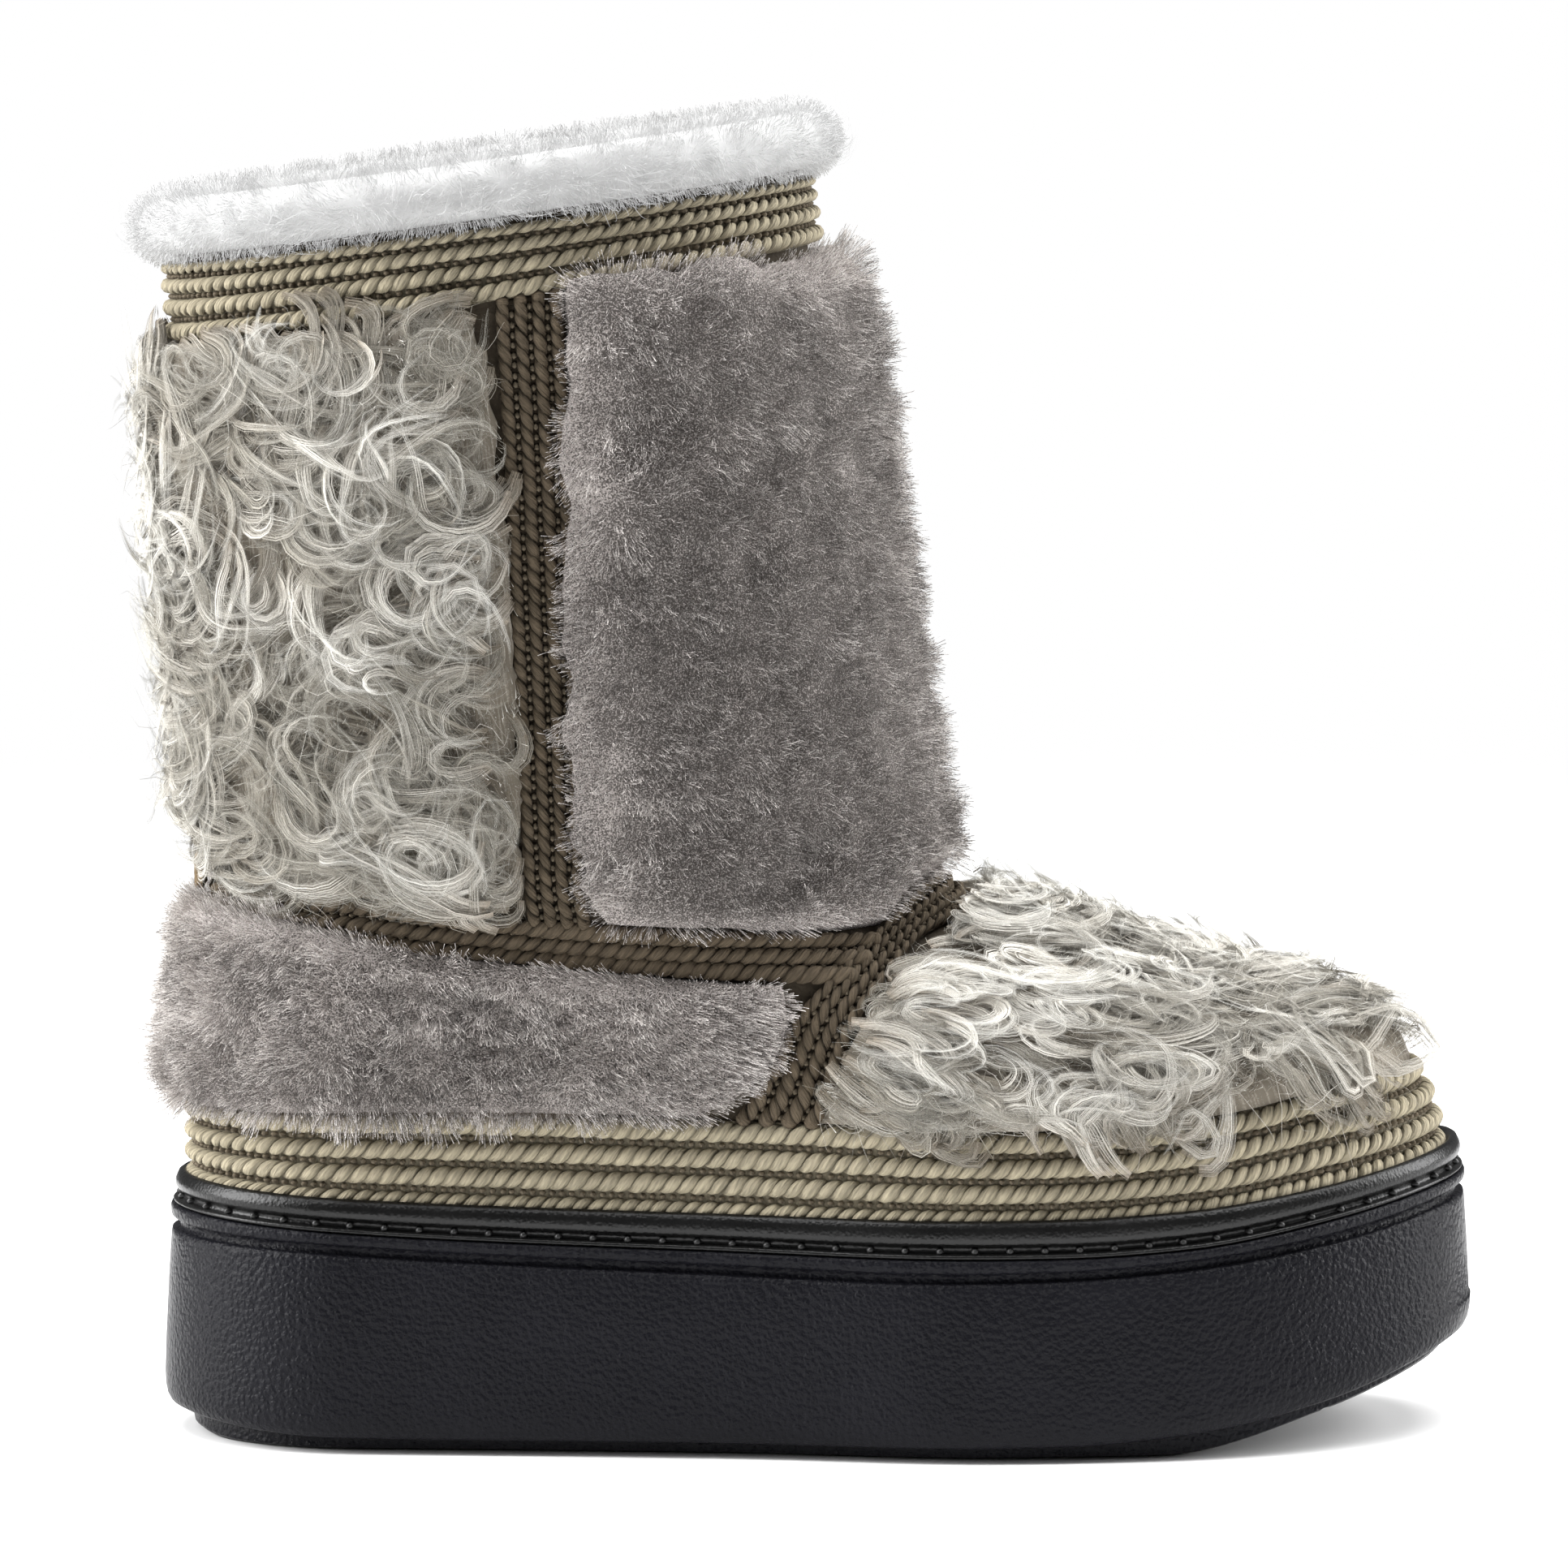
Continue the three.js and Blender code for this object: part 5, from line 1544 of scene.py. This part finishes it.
class CurlyPanel:
    """A curly fur panel and the locks that grow on it."""

    def __init__(self, place, edges, fur):
        self.place = place
        self.edges = edges
        self.fur = fur
        locks = fur["locks"]
        seed = fur["seed"]
        rng = np.random.default_rng(seed)
        self.rng = rng
        self.along, self.across = spread_even(place, locks, rng)
        level, turn = place(self.along, self.across)
        foot = upper_point(level, turn)
        self.heading = self.fan(foot, level, turn, seed) + rng.normal(0, fur["stray"], locks)
        way = np.where(patches(foot, *LOCK_WAYS, base=seed) + rng.normal(0, LOCK_MIXED, locks) > 0, 1, -1)
        self.bend = way * rng.uniform(*fur["bend"], locks)
        self.sway = rng.normal(0, LOCK_SWAY, locks)
        self.length = length_of("curl_length") * fur["length"] * rng.uniform(*LOCK_LENGTH, locks)
        self.width = rng.uniform(*LOCK_WIDTH, locks)
        self.lift = rng.uniform(*LOCK_LIFT, locks)
        self.flare = rng.uniform(*fur["flare"], locks)
        self.margin = rng.uniform(-1, 1, locks)
        drift = patches(foot, *LOCK_DRIFTS, base=seed)
        # Painted light from above: locks are paler toward the panel's upper edge and darker below it, and
        # paler along its middle at the boot's back or front.
        painted_light = fur["painted_light"] * (self.across - LOCK_TONE["painted_light_start"]) + painted_end_sheen(fur, self.along)
        single = rng.normal(0, LOCK_TONE["single"], locks)
        # Locks that lie lower are darker, a painted shade.
        self.tone = fur["tone"] + LOCK_TONE["lift"] * self.lift + drift + painted_light + single

    def fan(self, foot, level, turn, seed):
        """Headings of locks that part from the nearest of several crowns and droop with the flow."""
        rng = np.random.default_rng(seed + 9)
        crowns = upper_point(*self.place(*spread_even(self.place, self.fur["crowns"], rng)))
        gaps = foot[:, None] - crowns
        nearest = np.argmin(np.linalg.norm(gaps, axis=-1), 1)
        apart = unit(gaps[np.arange(len(foot)), nearest])
        round_it, up = (unit(step) for step in upper_steps(level, turn))
        flow = np.where(turn < 0.5, self.fur["flow"], np.pi - self.fur["flow"])
        aside = np.sum(apart * round_it, -1) + self.fur["droop"] * np.cos(flow)
        rise = np.sum(apart * up, -1) + self.fur["droop"] * np.sin(flow)
        return np.arctan2(rise, aside)

    def lay(self, own, x, y, lift):
        """Puts flat curls on the panel, at the height of its pile."""
        level, turn = self.place(self.along[own], self.across[own])
        round_it, up = upper_steps(level, turn)
        turns = turn[:, None] + x / np.maximum(np.linalg.norm(round_it, axis=-1), LEAST_TURN)[:, None]
        heights = level[:, None] + y / np.maximum(np.linalg.norm(up, axis=-1), LEAST_LEVEL)[:, None]
        low, high = self.fur["levels"]
        margin = self.margin[own][:, None]
        low = low + NOTCH_ROOM * notch_rise(self.fur, turns) + LOCK_STRAY["foot"] * margin
        heights = move_inside(heights, low, high - LOCK_STRAY["top"] * margin)
        first, last = self.edges(heights)
        inset = LOCK_STRAY["side"] * margin + LOCK_INSET
        turns = move_inside(turns, first + inset, last - inset)
        shares = np.linspace(0, 1, x.shape[1])
        start, length, power = LOCK_ARCH
        rise = np.sin(np.pi * (start + length * shares)) ** power
        depth = fur_depth(self.fur, self.along[own], self.across[own])[:, None]
        flare = self.flare[own][:, None] * shares**2
        out = depth * (LOCK_ROOT + 0.6 * rise) + lift * mix(LOCK_ROOT, 1, rise) + flare
        return off_upper(heights, turns, np.maximum(out, LOCK_LEAST)), upper_normal(heights, turns)


def add_locks(shape, panel, steps=12):
    """The cards of each lock: together at its root, apart along its curl and drawn to one tip."""
    rng = panel.rng
    own = np.repeat(np.arange(len(panel.along)), LOCK_CARDS)
    count = len(own)
    spread = CARD_SPREAD
    offset = rng.normal(0, spread["offset"], count)
    x, y = flat_curls(
        panel.heading[own] + rng.normal(0, spread["heading"], count),
        panel.bend[own] * rng.uniform(*spread["bend"], count),
        panel.sway[own] + rng.normal(0, spread["sway"], count),
        panel.length[own] * rng.uniform(*spread["length"], count),
        offset * panel.width[own],
        rng.normal(0, spread["slip"], count),
        steps,
    )
    arch = CARD_ARCH * (1 - np.minimum(1.2, offset**2))
    arch = arch + panel.lift[own] + rng.normal(0, spread["rise"], count)
    paths, out = panel.lay(own, x, y, np.repeat(arch[:, None], steps, 1))
    # Cards away from a lock's middle lie lower and are darker, a painted shade.
    tone = panel.tone[own] + rng.normal(0, spread["tone"], count) - 0.12 * np.abs(offset)
    tip = np.broadcast_to(0.25 + 0.75 * np.sqrt(np.linspace(0, 1, steps)), (count, steps))
    sideways = across_ways(paths, out, rng, spread["twist"])
    add_hairs(shape, paths, sideways, rng.uniform(*LOCK_CARD, count), tip, np.clip(tone, 0, 1))


def add_loose_hairs(shape, panel, kind, steps=7):
    """Single fine hairs that lie every way between the locks, or stand out of them."""
    rng = panel.rng
    count = kind["each"] * panel.fur["loose"]
    length = kind["length"] * length_of("curl_length")
    low, high = kind["lift"]
    spread = LOOSE_SPREAD
    own = rng.integers(0, len(panel.along), count)
    x, y = flat_curls(
        rng.uniform(-np.pi, np.pi, count),
        rng.normal(0, spread["bend"], count),
        rng.normal(0, spread["sway"], count),
        length * rng.uniform(*spread["length"], count),
        np.zeros(count),
        rng.normal(0, spread["slip"], count),
        steps,
    )
    rise = low + np.linspace(0, 1, steps) * rng.uniform(0, high, (count, 1))
    paths, out = panel.lay(own, x, y, rise)
    tip = np.broadcast_to(0.5 + 0.5 * np.linspace(0, 1, steps), (count, steps))
    tone = panel.fur["tone"] + rng.uniform(-spread["tone"], spread["tone"], count)
    sideways = across_ways(paths, out, rng, spread["twist"])
    add_hairs(shape, paths, sideways, np.full(count, LOOSE_HAIR), tip, tone)


def build_curly_fur(name, panel, node):
    wool = Shape()
    pile = WOOL_PILE
    add_undercoat(wool, panel.place, panel.fur, pile)
    short_hairs(wool, panel.place, panel.fur, pile["hairs"], pile["length"], pile, pile["seed"])
    add_loose_hairs(wool, panel, FRIZZ)
    add_loose_hairs(wool, panel, STRAYS)
    curls = Shape()
    add_locks(curls, panel)
    add_piece(wool, name + "_wool", shared_material("Curly wool", fur_material), [node])
    add_piece(curls, name + "_curls", shared_material("Curly locks", lock_material), [])


def cuff_frame(turn):
    """Foot, outward way and upward way of the cuff at a turn."""
    foot = upper_point(CUFF_LEVEL, turn)
    up = unit(upper_point(TOP_LEVEL, turn) - foot)
    out = upper_normal(np.full_like(turn, CUFF_LEVEL), turn)
    return foot, out, up


def cuff_point(turn, angle):
    """A point on the body of the cuff's roll and the way its surface faces."""
    foot, out, up = cuff_frame(turn)
    roll = CUFF_ROLL
    cos = np.cos(angle)[..., None]
    sin = np.sin(angle)[..., None]
    wide = roll["out"] + roll["half_out"] * cos
    high = roll["up"] + roll["half_up"] * sin
    faces = out * (cos / roll["half_out"]) + up * (sin / roll["half_up"])
    return foot + out * wide + up * high, unit(faces)


def build_cuff():
    shape = Shape()
    turn, angle = np.meshgrid(turns_round(140), np.linspace(0, 2 * np.pi, 25), indexing="xy")
    body, _ = cuff_point(turn, angle)
    values = np.zeros(turn.shape)
    lines_round, lines_over = FIBRE_LINES["cuff"]
    strand = np.stack([turn * lines_round, angle * lines_over, values], -1)
    triangles = grid_triangles(*turn.shape, wrap=True)
    shape.add(body, triangles, tip=values + CUFF_BODY["tip"], tone=values + CUFF_BODY["tone"], strand=strand)
    cuff_pile(shape)
    cuff_fringe(shape)
    add_piece(shape, "cuff", shared_material("Cuff fur", fur_material), ["collar_cuff"])


def cuff_line(turn):
    return upper_point(CUFF_LEVEL, turn)


def cuff_roots(count, angles, rng):
    """Random places on the cuff's roll, the way its surface faces there and the way round the boot."""
    dense = np.linspace(0, 1, 1500)
    run = distances(cuff_line(dense))
    turn = np.interp(rng.random(count), run / run[-1], dense)
    angle = np.pi * rng.uniform(*angles, count)
    root, faces = cuff_point(turn, angle)
    ahead = unit(cuff_line(turn + SLOPE_STEP) - cuff_line(turn - SLOPE_STEP))
    return root, faces, ahead


def cuff_pile(shape):
    """Short dense hair all round the roll."""
    count = CUFF_PILE["count"]
    seed = CUFF_PILE["seed"]
    length = CUFF_PILE["length"] * length_of("cuff_length")
    rng = np.random.default_rng(seed)
    root, faces, ahead = cuff_roots(count, CUFF_PILE["angles"], rng)
    sway = patches(root, *CUFF_SWAY, base=seed) + rng.normal(0, CUFF_LEAN, count)
    drop = patches(root, *CUFF_DROP, base=seed) + rng.normal(0, CUFF_LEAN, count)
    way = unit(faces + ahead * sway[:, None] + np.cross(ahead, faces) * drop[:, None])
    long = length * rng.uniform(*CUFF_LENGTHS, count)
    middle, spread = CUFF_TONE
    tone = middle + patches(root, *CUFF_SHADES, base=seed) + rng.normal(0, spread, count)
    add_pile(shape, root, root + way * long[:, None], CUFF_HAIR, np.clip(tone, 0, 1), rng)


def cuff_fringe(shape, steps=6):
    """Longer fine hairs along the lower edge, that hang down over the ropes."""
    count = CUFF_FRINGE["count"]
    seed = CUFF_FRINGE["seed"]
    length = CUFF_FRINGE["length"] * length_of("cuff_length")
    rng = np.random.default_rng(seed)
    root, faces, ahead = cuff_roots(count, CUFF_FRINGE["angles"], rng)
    drift = patches(root, *CUFF_DRIFT, base=seed) + rng.normal(0, 0.4, count)
    beside = np.cross(ahead, faces)
    lean = ahead * np.sin(drift)[:, None] - beside * np.cos(drift)[:, None]
    long = (length * rng.uniform(*CUFF_LENGTHS, count))[:, None, None]
    shares = np.linspace(0, 1, steps)[:, None]
    rise = rng.uniform(0.3, 0.45, (count, 1, 1)) * np.sin(np.pi * (0.05 + 0.7 * shares))
    bend = ahead * rng.normal(0, 0.3, count)[:, None]
    paths = root[:, None] + long * (
        faces[:, None] * rise + lean[:, None] * 0.8 * shares + bend[:, None] * shares**2
    )
    tip = np.broadcast_to(0.3 + 0.7 * np.linspace(0, 1, steps), (count, steps))
    sideways = across_ways(paths, np.repeat(faces[:, None], steps, 1), rng, 0.4)
    add_hairs(shape, paths, sideways, np.full(count, CUFF_HAIR), tip, rng.uniform(0.5, 0.9, count))


def build_lining():
    """Fleece on the inside of the upper and over the footbed."""
    shape = Shape()
    turn, level = np.meshgrid(turns_round(120), np.linspace(*LINING_LEVELS, 60), indexing="xy")
    inside = off_upper(level, turn, np.full(turn.shape, -WALL - 0.6))
    thick = LINING_DEPTH * (0.8 + 0.22 * waves(inside, 8.0, 21))
    wall = off_upper(level, turn, -WALL - thick)
    shape.add(wall, grid_triangles(*turn.shape, wrap=True))
    add_footbed(shape)
    add_piece(shape, "lining", shared_material("Fleece", fleece_material), ["insole"])


def add_footbed(shape):
    turn = np.linspace(0, 0.5, 100)
    level = np.full_like(turn, FOOTBED["level"])
    inset = np.full_like(turn, -WALL - FOOTBED["inset"])
    outer = off_upper(level, turn, inset)
    inner = off_upper(level, 1 - turn, inset)
    bed = mix(outer, inner, np.linspace(0, 1, 24)[:, None, None])
    height = side["top"](bed[..., 0] + SOLE_LENGTH / 2) + FOOTBED["rise"]
    bed[..., 2] = height + 0.5 * waves(bed, 9.0, 22)
    shape.add(bed, grid_triangles(*bed.shape[:2]))


def plate_frame():
    """Middle of the back plate, and its ways across, up and out."""
    level = np.array(PLATE["level"])
    turn = np.array(0.0)
    out = upper_normal(level, turn)
    across = np.array((0.0, -1.0, 0.0))
    up = unit(np.cross(out, across))
    return upper_point(level, turn) + out * PLATE["out"], across, up, out


def rounded_frame(half_width_mm, half_height, radius, count):
    """A rectangle with rounded corners, as points round it."""
    angle = np.linspace(0, 2 * np.pi, count, endpoint=False)
    corner_x = np.sign(np.cos(angle)) * (half_width_mm - radius)
    corner_y = np.sign(np.sin(angle)) * (half_height - radius)
    return corner_x + radius * np.cos(angle), corner_y + radius * np.sin(angle)


def build_plate():
    """A rounded plate with a dark dished face inside a raised metal edge."""
    shape = Shape()
    middle, across, up, out = plate_frame()
    radius, least = PLATE_CORNER
    layers = []
    for inset, rise, _ in PLATE_ROWS:
        half = (PLATE["width"] / 2 - inset, PLATE["height"] / 2 - inset)
        x, y = rounded_frame(*half, max(least, radius - inset), PLATE_POINTS)
        layers.append(middle + across * x[:, None] + up * y[:, None] + out * rise)
    points = np.stack(layers)
    bare = np.repeat(np.array([row[2] for row in PLATE_ROWS])[:, None], PLATE_POINTS, 1)
    shape.add(points, grid_triangles(len(PLATE_ROWS), PLATE_POINTS, wrap=True), tip=bare)
    rim = np.arange(PLATE_POINTS)
    fan = np.stack([0 * rim, rim + 1, (rim + 1) % PLATE_POINTS + 1], -1)
    cap = np.concatenate([[middle + out * PLATE_ROWS[-1][1]], points[-1]])
    shape.add(cap, fan, tip=np.zeros(len(cap)))
    add_piece(shape, "plate", shared_material("Plate", plate_material), ["back_plate"])


def add_area_light(name, place, aim, size, power):
    lamp = bpy.data.lights.new(name, "AREA")
    lamp.shape = "RECTANGLE"
    lamp.size, lamp.size_y = size
    lamp.energy = power
    holder = bpy.data.objects.new(name, lamp)
    holder.location = place
    ray = np.subtract(aim, place)
    pan = math.atan2(ray[1], ray[0]) - math.pi / 2
    tilt = math.acos(-ray[2] / np.linalg.norm(ray))
    holder.rotation_euler = (tilt, 0.0, pan)
    bpy.context.scene.collection.objects.link(holder)


def build_world():
    world = bpy.data.worlds.new("Studio")
    world.use_nodes = True
    tree = world.node_tree
    seen = add_node(tree, "ShaderNodeLightPath").outputs["Is Camera Ray"]
    strength = add_node(tree, "ShaderNodeMapRange", {0: seen, 3: SKY["lighting"], 4: SKY["seen"]})
    walls = tree.nodes["Background"].inputs
    walls["Color"].default_value = (1.0, 1.0, 1.0, 1.0)
    tree.links.new(strength.outputs[0], walls["Strength"])
    bpy.context.scene.world = world


def floor_material(name):
    """Matt white paper that fades out with distance."""
    material, tree, sockets = new_material(name, Roughness=0.8, Specular_IOR_Level=0.1)
    pebble = use_group(tree, "Pebble", pebble_group, Cells=300.0, Patches=4.0)
    wear_in_patches(tree, sockets, pebble["Patch"], colour_of("floor"), (0.99, 1.01))
    length = add_node(tree, "ShaderNodeVectorMath", {0: object_place(tree)}, operation="LENGTH")
    away = length.outputs["Value"]
    start, end = FLOOR_FADE
    fade = add_node(tree, "ShaderNodeMapRange", {0: away, 1: start, 2: end, 3: 1.0, 4: 0.0})
    fade.interpolation_type = "SMOOTHSTEP"
    tree.links.new(fade.outputs[0], sockets["Alpha"])
    return material


def build_floor():
    half = FLOOR_HALF
    shape = Shape()
    corners = [(-half, -half, 0), (half, -half, 0), (half, half, 0), (-half, half, 0)]
    shape.add(corners, [(0, 1, 2), (0, 2, 3)])
    floor = bpy.data.objects.new("floor", shape.to_mesh("floor"))
    floor.data.materials.append(shared_material("Floor", floor_material))
    bpy.context.scene.collection.objects.link(floor)


def build_camera():
    lens = bpy.data.cameras.new("Camera")
    lens.lens = CAMERA["lens"]
    lens.sensor_width = CAMERA["sensor"]
    lens.clip_end = CAMERA["far"]
    holder = bpy.data.objects.new("Camera", lens)
    holder.location = CAMERA["place"]
    holder.rotation_euler = (CAMERA["pitch"], 0.0, 0.0)
    bpy.context.scene.collection.objects.link(holder)
    bpy.context.scene.camera = holder


class BOOT_OT_stage(bpy.types.Operator):
    """Set up the camera, the floor and the studio light"""

    bl_idname = "boot.stage"
    bl_label = "Stage"
    bl_options = {"REGISTER", "UNDO"}

    def execute(self, context):
        build_camera()
        build_floor()
        build_world()
        for name, settings in LIGHTS.items():
            add_area_light(name, *settings)
        bpy.context.scene.view_settings.view_transform = "Standard"
        return {"FINISHED"}


class BOOT_OT_sole(bpy.types.Operator):
    """Mould the platform sole with its groove and tread"""

    bl_idname = "boot.sole"
    bl_label = "Sole"
    bl_options = {"REGISTER", "UNDO"}

    def execute(self, context):
        build_sole()
        return {"FINISHED"}


class BOOT_OT_rand(bpy.types.Operator):
    """Wrap the leather rand round the sole and stitch it"""

    bl_idname = "boot.rand"
    bl_label = "Rand and stitches"
    bl_options = {"REGISTER", "UNDO"}

    def execute(self, context):
        build_rand()
        return {"FINISHED"}


class BOOT_OT_upper(bpy.types.Operator):
    """Finish the upper's own solid in leather"""

    bl_idname = "boot.upper"
    bl_label = "Upper"
    bl_options = {"REGISTER", "UNDO"}

    def execute(self, context):
        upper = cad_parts["upper"]
        upper.data.materials.clear()
        upper.data.materials.append(shared_material("Backing", skin_material))
        return {"FINISHED"}


class BOOT_OT_lining(bpy.types.Operator):
    """Line the boot and its footbed with fleece"""

    bl_idname = "boot.lining"
    bl_label = "Lining"
    bl_options = {"REGISTER", "UNDO"}

    def execute(self, context):
        build_lining()
        return {"FINISHED"}


class BOOT_OT_ropes(bpy.types.Operator):
    """Lay the twisted ropes and the stitches between them"""

    bl_idname = "boot.ropes"
    bl_label = "Rope trims"
    bl_options = {"REGISTER", "UNDO"}

    def execute(self, context):
        for number, (name, trim) in enumerate(ROPE_TRIMS.items()):
            build_rope_trim(name, *trim, 100 * (number + 1))
        return {"FINISHED"}


class BOOT_OT_short_fur(bpy.types.Operator):
    """Grow the short pile of the front and heel panels"""

    bl_idname = "boot.short_fur"
    bl_label = "Short fur"
    bl_options = {"REGISTER", "UNDO"}

    def execute(self, context):
        build_short_fur("front_fur", front_fur_place, FRONT_FUR, "shaft_front_fur")
        build_short_fur("heel_pile", heel_fur_place, HEEL_FUR, "heel_fur")
        return {"FINISHED"}


class BOOT_OT_curly_fur(bpy.types.Operator):
    """Grow the curled locks of the back and vamp panels"""

    bl_idname = "boot.curly_fur"
    bl_label = "Curly fur"
    bl_options = {"REGISTER", "UNDO"}

    def execute(self, context):
        back = CurlyPanel(back_fur_place, back_fur_edges, BACK_FUR)
        build_curly_fur("back", back, "shaft_back_fur")
        vamp = CurlyPanel(vamp_fur_place, vamp_fur_edges, VAMP_FUR)
        build_curly_fur("vamp", vamp, "vamp_fur")
        return {"FINISHED"}


class BOOT_OT_cuff(bpy.types.Operator):
    """Roll the white fur cuff over the top edge"""

    bl_idname = "boot.cuff"
    bl_label = "Cuff"
    bl_options = {"REGISTER", "UNDO"}

    def execute(self, context):
        build_cuff()
        return {"FINISHED"}


class BOOT_OT_plate(bpy.types.Operator):
    """Fit the small metal plate at the back of the ankle"""

    bl_idname = "boot.plate"
    bl_label = "Back plate"
    bl_options = {"REGISTER", "UNDO"}

    def execute(self, context):
        build_plate()
        return {"FINISHED"}


OPERATORS = (
    BOOT_OT_stage,
    BOOT_OT_sole,
    BOOT_OT_rand,
    BOOT_OT_upper,
    BOOT_OT_lining,
    BOOT_OT_ropes,
    BOOT_OT_short_fur,
    BOOT_OT_curly_fur,
    BOOT_OT_cuff,
    BOOT_OT_plate,
)


class BOOT_PT_panel(bpy.types.Panel):
    """Lists the boot's pieces and their settings"""

    bl_label = "Boot"
    bl_idname = "BOOT_PT_panel"
    bl_space_type = "VIEW_3D"
    bl_region_type = "UI"
    bl_category = "Boot"

    def draw(self, context):
        for settings in (context.scene.boot_sizes, context.scene.boot_colours):
            for name in settings.bl_rna.properties.keys():
                if name not in ("rna_type", "name"):
                    self.layout.prop(settings, name)
        for operator in OPERATORS:
            self.layout.operator(operator.bl_idname)


CLASSES = (BootSizes, BootColours, *OPERATORS, BOOT_PT_panel)


def register():
    for made in CLASSES:
        bpy.utils.register_class(made)
    bpy.types.Scene.boot_sizes = bpy.props.PointerProperty(type=BootSizes)
    bpy.types.Scene.boot_colours = bpy.props.PointerProperty(type=BootColours)


def unregister():
    del bpy.types.Scene.boot_colours
    del bpy.types.Scene.boot_sizes
    for made in reversed(CLASSES):
        bpy.utils.unregister_class(made)


def main():
    register()
    bpy.ops.boot.stage()
    bpy.ops.boot.sole()
    bpy.ops.boot.rand()
    bpy.ops.boot.upper()
    bpy.ops.boot.lining()
    bpy.ops.boot.ropes()
    bpy.ops.boot.short_fur()
    bpy.ops.boot.curly_fur()
    bpy.ops.boot.cuff()
    bpy.ops.boot.plate()


if __name__ == "__main__":
    main()
